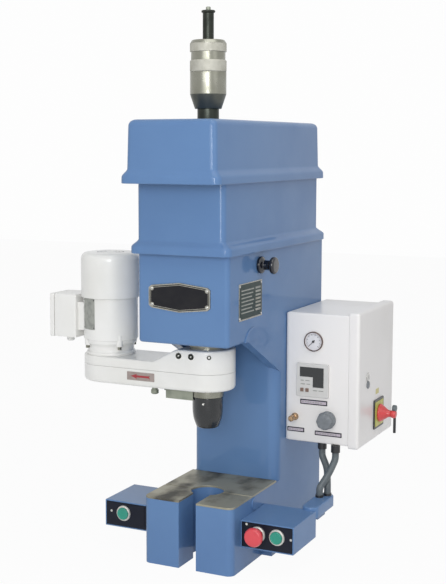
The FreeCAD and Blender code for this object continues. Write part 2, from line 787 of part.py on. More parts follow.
nose_ring = turned("nose_ring_body", [
    ("bearing_outer", "2"),
    ("spindle_radius + 3", "2"),
    ("spindle_radius + 3", "0"),
    ("ring_radius", "0"),
    ("ring_radius", "housing_bottom - ring_bottom"),
    ("ring_radius - 4", "housing_bottom - ring_bottom"),
    ("ring_radius - 4", "housing_bottom + housing_wall - ring_bottom"),
    ("bearing_outer", "housing_bottom + housing_wall - ring_bottom"),
], z="ring_bottom")
node("nose_ring", nose_ring)
bearing_rings = [tube(
    "bearing_%d" % index, "bearing_outer", "spindle_radius", "bearing_height", "0", "0", z)
    for index, z in enumerate((
        "ring_bottom + 2", "housing_deck + 2", "housing_deck + quill_pocket - bearing_height - 2"))]


def belt_loop(name, grow):
    """The closed outline of a flat belt round both pulleys, grown outwards."""
    spindle_end = value_of("spindle_pulley + body_gap") + grow
    motor_end = value_of("motor_pulley + body_gap") + grow
    reach = value_of("motor_reach")
    lean = math.asin((spindle_end - motor_end) / reach)
    points = []
    for centre, radius, turn in ((0, spindle_end, 1), (-reach, motor_end, -1)):
        for side in (1, -1):
            angle = math.pi / 2 + lean
            points.append(Vector(
                centre + radius * math.cos(angle), side * radius * math.sin(angle), 0))
    top_spindle, low_spindle, top_motor, low_motor = points
    edges = [
        Part.LineSegment(top_spindle, top_motor).toShape(),
        Part.Arc(top_motor, Vector(-reach - motor_end, 0, 0), low_motor).toShape(),
        Part.LineSegment(low_motor, low_spindle).toShape(),
        Part.Arc(low_spindle, Vector(spindle_end, 0, 0), top_spindle).toShape(),
    ]
    return Part.Face(Part.Wire(edges))


belt = doc.addObject("Part::Feature", "drive_belt_band")
band = belt_loop("outer", value_of("belt_thick")).cut(belt_loop("inner", 0.0))
belt.Shape = band.extrude(Vector(0, 0, value_of("belt_width")))
place(belt, "0", "0", "belt_plane - belt_width / 2")
node("drive_belt", belt)

# --- spindle ------------------------------------------------------------------------

SPINDLE_FOOT = "ring_bottom - 3"
shaft = turned("spindle_shaft_body", [
    ("0", "0"),
    ("spindle_radius + 2", "0"),
    ("spindle_radius + 2", "4"),
    ("spindle_radius - slide_gap", "4"),
    ("spindle_radius - slide_gap", "housing_deck + quill_pocket - 4 - (%s)" % SPINDLE_FOOT),
    ("0", "housing_deck + quill_pocket - 4 - (%s)" % SPINDLE_FOOT),
], z=SPINDLE_FOOT)
node("spindle_shaft", shaft)
pulley = turned("spindle_pulley_body", [
    ("spindle_radius - slide_gap", "0"),
    ("spindle_pulley + 4", "0"),
    ("spindle_pulley + 4", "2"),
    ("spindle_pulley", "2"),
    ("spindle_pulley", "belt_width + 4"),
    ("spindle_pulley + 4", "belt_width + 4"),
    ("spindle_pulley + 4", "belt_width + 6"),
    ("spindle_radius - slide_gap", "belt_width + 6"),
], z="belt_plane - belt_width / 2 - 3")
node("spindle_pulley", pulley)
nose = turned("orbital_head_body", [
    ("0", "0"),
    ("nose_tip_radius - 3", "0"),
    ("nose_tip_radius", "3"),
    ("nose_radius - 4", "(nose_shoulder - nose_bottom) * 0.62"),
    ("nose_radius", "nose_shoulder - nose_bottom"),
    ("nose_radius", "ring_bottom - body_gap - nose_bottom"),
    ("spindle_radius + 2", "ring_bottom - body_gap - nose_bottom"),
    ("spindle_radius + 2", "%s - nose_bottom" % SPINDLE_FOOT),
    ("0", "%s - nose_bottom" % SPINDLE_FOOT),
], z="nose_bottom")
TILT = Rotation(Vector(0, 1, 0), value_of("holder_tilt"))
HOLDER_FOOT = "tilt_point + recess"


def on_tilted_axis(obj, distance):
    """Set a cylinder on the axis that leans from the tool point, a distance along it."""
    return place(
        obj, "(%s) * sin(holder_tilt * 1 deg)" % distance, "0",
        "nose_bottom - tilt_point + (%s) * cos(holder_tilt * 1 deg)" % distance, TILT)


tilted_bore = on_tilted_axis(
    rod("tilted_bore", "holder_radius + slide_gap", "holder_length + recess + 1", "0", "0", "0"),
    "tilt_point")
tilted_mouth = on_tilted_axis(
    rod("tilted_mouth", "holder_radius + slide_gap", "tilt_point", "0", "0", "0"), "1")
nose_screw = rod("nose_screw", "2.6", "4", "5", "-nose_radius - 0.6", "nose_shoulder + 14", "y")
node("orbital_head", cut(
    "orbital_head_full", fuse("orbital_head_solid", [nose, nose_screw]), [tilted_bore, tilted_mouth]))
holder_bar = on_tilted_axis(
    rod("tool_holder_bar", "holder_radius", "holder_length", "0", "0", "0"), HOLDER_FOOT)
tool_bore = on_tilted_axis(
    rod("tool_bore", "tool_radius", "tool_depth + 1", "0", "0", "0"), HOLDER_FOOT + " - 1")
node("tool_holder", cut("tool_holder_full", holder_bar, [tool_bore]))

# --- motor --------------------------------------------------------------------------

frame_wall = turned("motor_frame_body", [
    ("shaft_radius + 4", "0"),
    ("shield_radius", "0"),
    ("shield_radius", "shield_top - housing_deck - 8"),
    ("motor_radius", "shield_top - housing_deck"),
    ("motor_radius", "motor_top - housing_deck"),
    ("shaft_radius + 4", "motor_top - housing_deck"),
    ("shaft_radius + 4", "motor_top - housing_deck - motor_wall"),
    ("rotor_radius + 1.5", "motor_top - housing_deck - motor_wall"),
    ("rotor_radius + 1.5", "motor_wall + 2"),
    ("shaft_radius + 4", "motor_wall + 2"),
], x=MOTOR, z="housing_deck")
node("motor_frame", frame_wall)
motor_bearings = [tube(
    "motor_bearing_%d" % index, "shaft_radius + 4", "shaft_radius", "motor_wall", MOTOR, "0", z)
    for index, z in enumerate(("housing_deck", "motor_top - motor_wall"))]
node("bearings", group("bearing_set", bearing_rings + motor_bearings))
rotor = turned("rotor_shaft_body", [
    ("0", "0"),
    ("shaft_radius - slide_gap", "0"),
    ("shaft_radius - slide_gap", "shield_top - housing_bottom - 8"),
    ("rotor_radius", "shield_top - housing_bottom - 8"),
    ("rotor_radius", "motor_top - 18 - housing_bottom"),
    ("shaft_radius - slide_gap", "motor_top - 18 - housing_bottom"),
    ("shaft_radius - slide_gap", "fan_cover_top - 16 - housing_bottom"),
    ("0", "fan_cover_top - 16 - housing_bottom"),
], x=MOTOR, z="housing_bottom + housing_wall + 3")
node("rotor_shaft", rotor)
drive = turned("motor_pulley_body", [
    ("shaft_radius - slide_gap", "0"),
    ("motor_pulley + 4", "0"),
    ("motor_pulley + 4", "2"),
    ("motor_pulley", "2"),
    ("motor_pulley", "belt_width + 4"),
    ("motor_pulley + 4", "belt_width + 4"),
    ("motor_pulley + 4", "belt_width + 6"),
    ("shaft_radius - slide_gap", "belt_width + 6"),
], x=MOTOR, z="belt_plane - belt_width / 2 - 3")
node("motor_pulley", drive)
fan_hub = rod("fan_hub", "14", "16", MOTOR, "0", "fan_cover_top - 44")
blades = []
for index in range(6):
    blade = box("fan_blade_%d" % index, "0", "fan_radius - 6", "-1.5", "1.5", "0", "20")
    blade.Placement = Placement(Vector(0, 0, 0), Rotation(Vector(0, 0, 1), 60 * index))
    place(blade, MOTOR, "0", "fan_cover_top - 44", Rotation(Vector(0, 0, 1), 60 * index))
    blades.append(blade)
fan_disc = rod("fan_disc", "fan_radius", "3", MOTOR, "0", "fan_cover_top - 46")
fan = cut("cooling_fan_full", fuse("cooling_fan_solid", [fan_hub, fan_disc] + blades), [
    rod("fan_bore", "shaft_radius - slide_gap", "40", MOTOR, "0", "fan_cover_top - 56")])
node("cooling_fan", fan)
shell = turned("fan_cover_body", [
    ("fan_cover_radius - 2", "0"),
    ("fan_cover_radius", "0"),
    ("fan_cover_radius", "fan_cover_top - motor_top - 20 + 6"),
    ("fan_cover_radius - 3", "fan_cover_top - motor_top - 8 + 6"),
    ("fan_cover_radius - 10", "fan_cover_top - motor_top - 2 + 6"),
    ("fan_cover_radius - 18", "fan_cover_top - motor_top + 6"),
    ("40", "fan_cover_top - motor_top + 6"),
    ("40", "fan_cover_top - motor_top + 4"),
    ("fan_cover_radius - 18", "fan_cover_top - motor_top + 4"),
    ("fan_cover_radius - 11", "fan_cover_top - motor_top - 4 + 6"),
    ("fan_cover_radius - 5", "fan_cover_top - motor_top - 9 + 6"),
    ("fan_cover_radius - 2", "fan_cover_top - motor_top - 20 + 6"),
], x=MOTOR, z="motor_top - 6")
grille = []
for index in range(4):
    grille.append(tube(
        "fan_grille_%d" % index, "%d" % (41 - 9 * index), "%d" % (37 - 9 * index), "2",
        MOTOR, "0", "fan_cover_top - 2"))
for index in range(2):
    bar = box("fan_grille_bar_%d" % index, "-41", "41", "-2", "2", "0", "2")
    turn = Rotation(Vector(0, 0, 1), 90 * index)
    place(bar, "-motor_reach - 41" if index == 0 else "-motor_reach + 2",
          "-2" if index == 0 else "-41", "fan_cover_top - 2", turn)
    grille.append(bar)
fan_seat = tube("fan_seat", "fan_cover_radius - 1", "motor_radius", "5", MOTOR, "0", "motor_top - 6")
node("fan_cover", fuse("fan_cover_full", [shell, fan_seat] + grille))
case = cut("terminal_case", fuse("terminal_solid", [
    box("terminal_block", "-terminal_left", "-terminal_right", "-terminal_half", "terminal_half",
        "terminal_bottom", "terminal_top"),
    box("terminal_neck", "-terminal_right - 1", "-motor_reach - motor_radius + 8", "-26", "26",
        "terminal_bottom + 18", "terminal_top - 18"),
]), [
    rod("terminal_seat", "motor_radius", "200", MOTOR, "0", "terminal_bottom - 10"),
    box("terminal_hollow", "-terminal_left + 4", "-terminal_right - 4", "-terminal_half + 4",
        "terminal_half - 4", "terminal_bottom + 4", "terminal_top - 4")])
gland = rod("terminal_gland", "9", "14", "-terminal_left + 30", "0", "terminal_bottom - 14")
node("terminal_box", group("terminal_box_set", [case, gland]))

# --- button boxes -------------------------------------------------------------------

def button_box(side, tag):
    """A blue sheet-metal box on the side of the table, open at the front."""
    x0 = "body_half" if side > 0 else "-box_reach"
    x1 = "box_reach" if side > 0 else "-body_half"
    block = box("button_case_" + tag, x0, x1, "-box_front", "box_back", "box_bottom", "box_top")
    inner0 = "%s + 3" % x0
    inner1 = "%s - 3" % x1
    hollow = box(
        "button_hollow_" + tag, inner0, inner1, "-box_front - 1", "box_back - 3",
        "box_bottom + 3", "box_top - 3")
    return cut("button_box_" + tag, block, [hollow])


left_box = button_box(-1, "left")
right_box = button_box(1, "right")
node("left_button_box", left_box)
node("right_button_box", right_box)
panels = []
BUTTONS = {"left": ["-left_button"], "right": ["stop_button", "right_button"]}
for tag, axes in BUTTONS.items():
    x0 = "body_half + 3" if tag == "right" else "-box_reach + 3"
    x1 = "box_reach - 3" if tag == "right" else "-body_half - 3"
    sheet_panel = box(
        "panel_" + tag, x0, x1, "-box_front", "-box_front + panel_thick", "box_bottom + 3", "box_top - 3")
    face = box(
        "face_" + tag, "-box_reach + 12" if tag == "left" else "body_half + 10",
        "-box_reach + 97" if tag == "left" else "box_reach - 3", "-box_front - 0.8", "-box_front",
        "box_bottom + 10", "box_top - 5")
    holes = [rod(
        "panel_hole_%s_%d" % (tag, index), "button_cap + 0.4", "10", x, "-box_front - 5",
        "button_height", "y") for index, x in enumerate(axes)]
    panels.append(cut("button_panel_" + tag, fuse("panel_full_" + tag, [sheet_panel, face]), holes))
node("button_plates", group("button_plate_set", panels))
bezels = []
for tag, axes in BUTTONS.items():
    for index, x in enumerate(axes):
        name = "bezel_%s_%d" % (tag, index)
        collar = tube(
            name, "button_bezel", "button_cap + 0.4", "4", x, "-box_front - 4.8", "button_height", "y")
        guide = tube(
            name + "_guide", "button_cap + 2.4", "button_cap + 0.4", "8", x,
            "-box_front + panel_thick", "button_height", "y")
        barrel_part = tube(
            name + "_barrel", "button_cap + 2.4", "button_cap - 3", "13", x,
            "-box_front + panel_thick + 7.5", "button_height", "y")
        block = box(
            name + "_block", "%s - 14" % x, "%s + 14" % x, "-box_front + 22", "-box_front + 62",
            "button_height - 20", "button_height + 20")
        bezels.append(fuse(name + "_all", [collar, guide, barrel_part, block]))
node("button_bezels", group("button_bezel_set", bezels))


def push_button(name, x):
    cap = rod(name + "_cap", "button_cap", "7.5", x, "-box_front - 8", "button_height", "y")
    stem = rod(name + "_stem", "5", "12", x, "-box_front - 1", "button_height", "y")
    return fuse(name + "_full", [cap, stem])


node("left_start_button", push_button("left_start", "-left_button"))
node("right_start_button", push_button("right_start", "right_button"))
mushroom = fuse("mushroom_full", [
    rod("mushroom_head", "mushroom_radius - 2", "15", "stop_button", "-box_front - 30", "button_height", "y"),
    cone("mushroom_back", "mushroom_radius", "mushroom_radius - 5", "9", "stop_button",
         "-box_front - 24", "button_height", "y"),
    rod("mushroom_neck", "button_cap", "20", "stop_button", "-box_front - 18", "button_height", "y"),
])
node("estop_button", mushroom)
duct_middle = box(
    "duct_middle", "duct_inner", "duct_outer", "box_back", "duct_back - (duct_outer - duct_inner) / 2",
    "duct_bottom", "duct_top")
duct_end = rod(
    "duct_end", "(duct_outer - duct_inner) / 2", "duct_top - duct_bottom",
    "(duct_outer + duct_inner) / 2", "duct_back - (duct_outer - duct_inner) / 2", "duct_bottom")
node("conduit_duct", fuse("conduit_duct_full", [duct_middle, duct_end]))

# --- control box --------------------------------------------------------------------

case_block = box(
    "case_block", "body_half", "case_right", "case_front", "case_back", "case_bottom", "case_top")
case_hollow = box(
    "case_hollow", "body_half + case_wall", "case_right + 1", "case_front + case_wall",
    "case_back - case_wall", "case_bottom + case_wall", "case_top - case_wall")
front_holes = [
    rod("gauge_hole", "gauge_radius - 2", "20", "gauge_x", "case_front - 5", "gauge_z", "y"),
    box("timer_hole_block", "timer_x - timer_hole / 2", "timer_x + timer_hole / 2", "case_front - 5",
        "case_front + 10", "timer_z - timer_hole / 2", "timer_z + timer_hole / 2"),
    rod("valve_hole", "5", "20", "valve_x", "case_front - 5", "valve_z", "y"),
    rod("regulator_hole", "6", "20", "regulator_x", "case_front - 5", "valve_z", "y"),
]
case_hinges = []
HINGE_X = "case_right + body_gap"
HINGE_Y = "case_back + hinge_radius + 2"
for index, z in enumerate(("case_bottom + 30", "case_top - 60")):
    case_hinges.append(rod("case_knuckle_%d" % index, "hinge_radius", "14", HINGE_X, HINGE_Y, z))
    case_hinges.append(box(
        "case_leaf_%d" % index, "case_right - 20", HINGE_X, "case_back - 0.5", "case_back + 2.4",
        z, z + " + 14"))
control_case = fuse("control_case", [
    cut("case_shell", case_block, [case_hollow] + front_holes)] + case_hinges)
node("control_box", control_case)
DOOR_X = "case_right + body_gap"
door_block = box(
    "door_block", DOOR_X, "door_outer", "case_front", "case_back + 1",
    "case_bottom - door_overlap", "case_top + door_overlap")
door_hollow = box(
    "door_hollow", DOOR_X + " - 1", "door_outer - door_sheet", "case_front + door_sheet",
    "case_back + 1 - door_sheet", "case_bottom - door_overlap + door_sheet",
    "case_top + door_overlap - door_sheet")
door_holes = [
    rod("isolator_hole", "9", "20", "door_outer - 10", "isolator_y", "isolator_z", "x"),
    rod("lock_hole", "8", "20", "door_outer - 10", "lock_y", "lock_z", "x"),
]
door_parts = [cut("door_shell", door_block, [door_hollow] + door_holes)]
for index, z in enumerate(("case_bottom + 44 + body_gap", "case_top - 46 + body_gap")):
    door_parts.append(rod("door_knuckle_%d" % index, "hinge_radius", "14", HINGE_X, HINGE_Y, z))
    door_parts.append(box(
        "door_leaf_%d" % index, HINGE_X, "case_right + 12", "case_back + 0.5", "case_back + 2.4",
        z, z + " + 14"))
node("box_door", fuse("box_door_full", door_parts))

# --- isolator and lock on the door --------------------------------------------------

isolator_back = box(
    "isolator_back", "door_outer", "door_outer + 3", "isolator_y - 34", "isolator_y + 34",
    "isolator_z - 33", "isolator_z + 33")
isolator_face = box(
    "isolator_face", "door_outer + 3", "door_outer + 4", "isolator_y - 29", "isolator_y + 29",
    "isolator_z - 28", "isolator_z + 28")
isolator_block = box(
    "isolator_block", "door_outer - door_sheet - 36", "door_outer - door_sheet", "isolator_y - 24",
    "isolator_y + 24", "isolator_z - 24", "isolator_z + 24")
isolator_neck = tube(
    "isolator_neck", "8.7", "5", "door_sheet", "door_outer - door_sheet", "isolator_y", "isolator_z", "x")
node("isolator_plate", cut("isolator_full", fuse(
    "isolator_solid", [isolator_back, isolator_face, isolator_block, isolator_neck]), [
        rod("isolator_bore", "5", "30", "door_outer - 20", "isolator_y", "isolator_z", "x")]))
handle = fuse("isolator_handle_full", [
    rod("handle_stem", "5 - fit_gap", "20", "door_outer - 14", "isolator_y", "isolator_z", "x"),
    cone("handle_cone", "19", "11", "26", "door_outer + 4 + body_gap", "isolator_y", "isolator_z", "x"),
    rod("handle_end", "11", "13", "door_outer + 30", "isolator_y", "isolator_z", "x"),
    box("handle_lever", "door_outer + 36", "door_outer + 43", "isolator_y - 3.5", "isolator_y + 3.5",
        "isolator_z - 44", "isolator_z + 14"),
    rod("handle_ball", "6.5", "9", "door_outer + 35", "isolator_y", "isolator_z + 14", "x"),
])
node("isolator_handle", handle)
lock = cut("door_lock_full", fuse("door_lock_solid", [
    rod("lock_disc", "10", "2", "door_outer + body_gap", "lock_y", "lock_z", "x"),
    rod("lock_barrel", "8 - body_gap", "22", "door_outer - 20", "lock_y", "lock_z", "x"),
    box("lock_cam", "door_outer - 22", "door_outer - 20", "lock_y - 8", "lock_y + 8",
        "lock_z - 8", "lock_z + 26"),
]), [rod("lock_socket", "4", "12", "door_outer - 8", "lock_y", "lock_z", "x")])
node("door_lock", lock)

# --- instruments on the front of the control box ------------------------------------

gauge = cut("gauge_full", fuse("gauge_solid", [
    rod("gauge_can", "gauge_radius - 2.3", "26", "gauge_x", "case_front - 1", "gauge_z", "y"),
    rod("gauge_rim", "gauge_radius", "5", "gauge_x", "case_front - 5", "gauge_z", "y"),
]), [rod("gauge_glass", "gauge_radius - 2.6", "4", "gauge_x", "case_front - 6", "gauge_z", "y")])
gauge_pin = rod("gauge_pin", "1.2", "3", "gauge_x", "case_front - 4.4", "gauge_z", "y")
node("gauge_case", fuse("gauge_all", [gauge, gauge_pin]))
pointer = cut("gauge_pointer_full", fuse("gauge_pointer_solid", [
    rod("pointer_hub", "2.6", "0.8", "gauge_x", "case_front - 4", "gauge_z", "y"),
    box("pointer_needle", "gauge_x - 0.7", "gauge_x + 0.7", "case_front - 4", "case_front - 3.4",
        "gauge_z - 15", "gauge_z + 5"),
]), [rod("pointer_bore", "1.2 + slide_gap", "3", "gauge_x", "case_front - 5", "gauge_z", "y")])
node("gauge_pointer", pointer)
timer = fuse("timer_full", [
    box("timer_frame", "timer_x - timer_side / 2", "timer_x + timer_side / 2", "case_front - 6",
        "case_front", "timer_z - timer_side / 2", "timer_z + timer_side / 2"),
    box("timer_body", "timer_x - timer_hole / 2 + fit_gap", "timer_x + timer_hole / 2 - fit_gap",
        "case_front - 1", "case_front + 70", "timer_z - timer_hole / 2 + fit_gap",
        "timer_z + timer_hole / 2 - fit_gap"),
])
keys = [
    box("timer_key_%d" % index, "timer_x %s" % x0, "timer_x %s" % x1, "case_front - 7.2",
        "case_front - 5.5", "timer_z %s" % z0, "timer_z %s" % z1)
    for index, (x0, x1, z0, z1) in enumerate((
        ("- 26", "- 14", "- 26", "- 16"),
        ("- 8", "+ 4", "- 26", "- 16"),
    ))]
node("timer_case", fuse("timer_all", [timer] + keys))
valves = fuse("valve_set", [
    rod("needle_base", "8", "9", "valve_x", "case_front - 9", "valve_z", "y"),
    rod("needle_thread", "4.8", "24", "valve_x", "case_front - 2", "valve_z", "y"),
    box("needle_block", "valve_x - 12", "valve_x + 12", "case_front + case_wall + 8",
        "case_front + case_wall + 30", "valve_z - 12", "valve_z + 12"),
])
regulator = fuse("regulator_set", [
    rod("regulator_collar", "13", "4", "regulator_x", "case_front - 4", "valve_z", "y"),
    rod("regulator_thread", "5.8", "24", "regulator_x", "case_front - 2", "valve_z", "y"),
    box("regulator_block", "regulator_x - 20", "regulator_x + 20", "case_front + case_wall + 12",
        "case_front + case_wall + 52", "valve_z - 22", "valve_z + 22"),
])
node("valve_bodies", cut("valve_bodies_bored", group("valve_bodies_pair", [valves, regulator]), [
    rod("needle_bore", "2.6", "20", "valve_x", "case_front - 10", "valve_z", "y"),
    rod("regulator_bore", "3.6", "18", "regulator_x", "case_front - 5", "valve_z", "y"),
]))
node("needle_knob", fuse("needle_knob_full", [
    rod("needle_grip", "6.5", "20", "valve_x", "case_front - 30", "valve_z", "y"),
    rod("needle_stem", "2.5", "16", "valve_x", "case_front - 12", "valve_z", "y"),
]))
node("regulator_knob", fuse("regulator_knob_full", [
    rod("regulator_skirt", "20", "10", "regulator_x", "case_front - 14.5", "valve_z", "y"),
    cone("regulator_grip", "16", "18.5", "13", "regulator_x", "case_front - 27", "valve_z", "y"),
    rod("regulator_stem", "3.5", "14", "regulator_x", "case_front - 15", "valve_z", "y"),
]))
LABELS = (
    ("timer_label", "139", "202", "311", "322"),
    ("needle_label", "109", "149", "247", "257"),
    ("regulator_label", "174", "236", "244", "254"),
)
strips = [box(name, x0, x1, "case_front - 1", "case_front", z0, z1) for name, x0, x1, z0, z1 in LABELS]
node("label_strips", group("label_strip_set", strips))
box_internals = fuse("box_internals_full", [
    box("contactor_rail", "case_wall + body_half", "body_half + case_wall + 4", "case_front + 30",
        "case_back - 30", "390", "425"),
    box("contactor_body", "body_half + case_wall + 4", "body_half + case_wall + 78", "260", "306",
        "368", "446"),
    box("relay_body", "body_half + case_wall + 4", "body_half + case_wall + 62", "320", "352",
        "376", "438"),
])
solenoid = box(
    "solenoid_valve", "body_half + case_wall + 8", "body_half + case_wall + 64", "case_front + 90",
    "case_front + 122", "case_bottom + case_wall", "case_bottom + case_wall + 46")
node("box_internals", group("box_internals_set", [box_internals, solenoid]))

# --- glands and conduits between control box and duct -------------------------------

GLANDS = (("184", "203"), ("222", "184"))
DUCT_ENDS = (("211", "166"), ("200", "146"))
gland_set = []
for index, (x, y) in enumerate(GLANDS):
    gland_set.append(rod(
        "gland_%d" % index, "gland_radius", "16", x, y, "case_bottom - 16"))
for index, (x, y) in enumerate(DUCT_ENDS):
    gland_set.append(rod("duct_gland_%d" % index, "gland_radius - 1", "5", x, y, "duct_top"))
node("cable_glands", group("cable_gland_set", gland_set))


def bent_path(points, share=0.45):
    """Straight runs joined by tangent arcs, as large as the shorter run allows."""
    edges = []
    start = points[0]
    for before, corner, after in zip(points, points[1:], points[2:]):
        inward = (corner - before).normalize()
        outward = (after - corner).normalize()
        turn = inward.getAngle(outward)
        reach = share * min((corner - before).Length, (after - corner).Length)
        radius = reach / math.tan(turn / 2)
        enter = corner - inward * reach
        leave = corner + outward * reach
        bisector = (outward - inward).normalize()
        middle = corner + bisector * (radius / math.cos(turn / 2) - radius)
        edges.append(Part.LineSegment(start, enter).toShape())
        edges.append(Part.Arc(enter, middle, leave).toShape())
        start = leave
    edges.append(Part.LineSegment(start, points[-1]).toShape())
    return Part.Wire(edges)


def number(text):
    return value_of(text)


def conduit(name, points):
    path = bent_path([Vector(*[number(text) for text in point]) for point in points])
    first = path.Edges[0]
    heading = first.tangentAt(first.FirstParameter)
    ring_edge = Part.makeCircle(number("conduit_radius"), path.Edges[0].Vertexes[0].Point, heading)
    solid = path.makePipeShell([Part.Wire([ring_edge])], True, False)
    print("%s: length %.1f mm, volume over section %.1f mm" % (
        name, path.Length, solid.Volume / (math.pi * number("conduit_radius") ** 2)))
    return solid


CONDUIT_ROUTES = (
    ("conduit_rear", (
        ("184", "203", "case_bottom - 16"),
        ("184", "203", "case_bottom - 32"),
        ("200", "193", "170"),
        ("211", "166", "duct_top + 20"),
        ("211", "166", "duct_top + 5"),
    )),
    ("conduit_front", (
        ("222", "184", "case_bottom - 16"),
        ("222", "184", "case_bottom - 32"),
        ("216", "162", "168"),
        ("200", "146", "duct_top + 20"),
        ("200", "146", "duct_top + 5"),
    )),
)
pipes = doc.addObject("Part::Feature", "conduit_pair")
pipes.Shape = Part.makeCompound([conduit(name, points) for name, points in CONDUIT_ROUTES])
node("conduits", pipes)

# --- plates, side knob and screws ---------------------------------------------------

badge = body("badge_body")
pad(badge, "badge_block", outline(badge, "badge_outline", "XZ_Plane", [
    ("badge_x - 70", "badge_z - 20"),
    ("badge_x - 66", "badge_z - 24"),
    ("badge_x", "badge_z - 31"),
    ("badge_x + 66", "badge_z - 24"),
    ("badge_x + 70", "badge_z - 20"),
    ("badge_x + 70", "badge_z + 20"),
    ("badge_x + 66", "badge_z + 24"),
    ("badge_x", "badge_z + 31"),
    ("badge_x - 66", "badge_z + 24"),
    ("badge_x - 70", "badge_z + 20"),
], offset="head_front"), "2")
side_plate = box(
    "side_plate", "body_half", "body_half + 1", "-70", "46", "524", "600")
plate_rivets = []
for index, (x, z) in enumerate(((-63, -17), (63, -17), (-63, 17), (63, 17))):
    plate_rivets.append(rod(
        "badge_rivet_%d" % index, "3", "2.6", "badge_x + %d" % x, "-head_front - 3.6",
        "badge_z + %d" % z, "y"))
for index, (y, z) in enumerate(((-65, 529), (41, 529), (-65, 595), (41, 595))):
    plate_rivets.append(rod(
        "side_rivet_%d" % index, "2.4", "2.4", "body_half", str(y), str(z), "x"))
node("name_plates", group("name_plate_set", [
    fuse("badge_full", [badge] + plate_rivets[:4]),
    fuse("side_plate_full", [side_plate] + plate_rivets[4:]),
]))
arrow_plate = box(
    "arrow_plate", "-163", "-97", "-housing_radius - 0.8", "-housing_radius", "381", "399")
motor_plate_seat = rod("motor_plate_seat", "motor_radius + 1", "68", MOTOR, "0", "482")
motor_plate = doc.addObject("Part::MultiCommon", "motor_plate_shape")
motor_plate.Shapes = [
    cut("motor_plate_ring", motor_plate_seat, [
        rod("motor_plate_bore", "motor_radius", "80", MOTOR, "0", "476")]),
    box("motor_plate_cut", "-256", "-220", "-motor_radius - 5", "-40", "482", "550"),
]
node("ram_plates", group("ram_plate_set", [arrow_plate, motor_plate]))
side_knob = turned("side_knob_body", [
    ("0", "-14"),
    ("side_stem", "-14"),
    ("side_stem", "0.5"),
    ("17", "0.5"),
    ("18", "2"),
    ("18", "7"),
    ("12", "11"),
    ("9", "17"),
    ("9", "22"),
    ("12", "26"),
    ("18", "29"),
    ("18", "35"),
    ("16", "38"),
    ("0", "38"),
])
place(side_knob, "body_half", "side_knob_y", "side_knob_z", Rotation(Vector(0, 1, 0), 90))
node("side_knob", side_knob)
screws = []
for index, z in enumerate((60, 340, 630)):
    for side in (-1, 1):
        screws.append(rod(
            "rear_screw_%d_%d" % (index, side + 1), "5", "3", "%d * (body_half - 18)" % side,
            "column_rear + 3", str(z), "y"))
PANEL_SCREWS = (("-box_reach + 17", "87"), ("box_reach - 5", "84.5"), ("body_half + 15", "104"))
for index, (x, z) in enumerate(PANEL_SCREWS):
    screws.append(rod("panel_screw_%d" % index, "2.6", "1.6", x, "-box_front - 2.4", z, "y"))
node("frame_screws", group("frame_screw_set", screws))

# --- check and write every sub-part -------------------------------------------------

doc.recompute()
problems = []
for obj in doc.Objects:
    if "Invalid" in obj.State or "Error" in obj.State:
        problems.append("%s: %s" % (obj.Name, obj.State))
for name, obj in NODES.items():
    if obj.Shape.isNull() or not obj.Shape.isValid() or obj.Shape.Volume <= 0:
        problems.append("%s: bad shape" % name)
if problems:
    raise RuntimeError("; ".join(problems))
os.makedirs("parts", exist_ok=True)
for name, obj in NODES.items():
    obj.Shape.exportStep("parts/%s.step" % name)
print("%d sub-parts written" % len(NODES))
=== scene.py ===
"""Looks of a bench orbital riveting press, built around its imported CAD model.

Lengths are metres in the frame of the CAD: +Z up along the spindle, +X to the operator's right
and -Y towards the operator.  Sizes in the classes are millimetres and are turned into metres
where a surface is made.
"""

import logging
import math
from dataclasses import dataclass, field, replace
from enum import Enum
from typing import Iterable, Sequence

import bmesh
import bpy
import numpy as np
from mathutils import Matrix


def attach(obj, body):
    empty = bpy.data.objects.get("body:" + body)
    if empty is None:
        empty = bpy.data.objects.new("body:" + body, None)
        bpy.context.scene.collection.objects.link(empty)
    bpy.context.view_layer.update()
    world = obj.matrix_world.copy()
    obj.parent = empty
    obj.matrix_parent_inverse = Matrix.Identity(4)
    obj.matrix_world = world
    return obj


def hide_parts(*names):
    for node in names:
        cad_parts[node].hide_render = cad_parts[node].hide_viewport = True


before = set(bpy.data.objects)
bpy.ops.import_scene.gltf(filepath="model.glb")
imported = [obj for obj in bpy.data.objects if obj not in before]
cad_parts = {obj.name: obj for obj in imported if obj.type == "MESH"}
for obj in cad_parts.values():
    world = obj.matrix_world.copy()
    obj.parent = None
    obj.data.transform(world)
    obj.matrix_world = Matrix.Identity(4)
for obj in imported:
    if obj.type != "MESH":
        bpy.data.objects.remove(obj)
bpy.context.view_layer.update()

LOG = logging.getLogger("riveting_press")
MM = 0.001
CRISP_ANGLE = 38.0      # edges that turn more than this many degrees stay crisp
FLAT_ANGLE = 1.0        # neighbouring faces within this many degrees are one face
WELD = 1e-6             # points of a new surface this near, in metres, are one point
CAD_WELD = 2e-5         # the same for the loose triangles of a CAD node
TURN = 2.0 * math.pi
Colour = tuple[float, float, float]
Array = np.ndarray


# --- finishes ------------------------------------------------------------------------


class Grain(Enum):
    """How the fine relief of a surface runs: the stretch of the noise along X, Y and Z."""

    NONE = (0.0, 0.0, 0.0)
    PEEL = (1.0, 1.0, 1.0)
    LATHE = (0.02, 0.02, 1.0)
    ACROSS = (0.04, 1.0, 1.0)


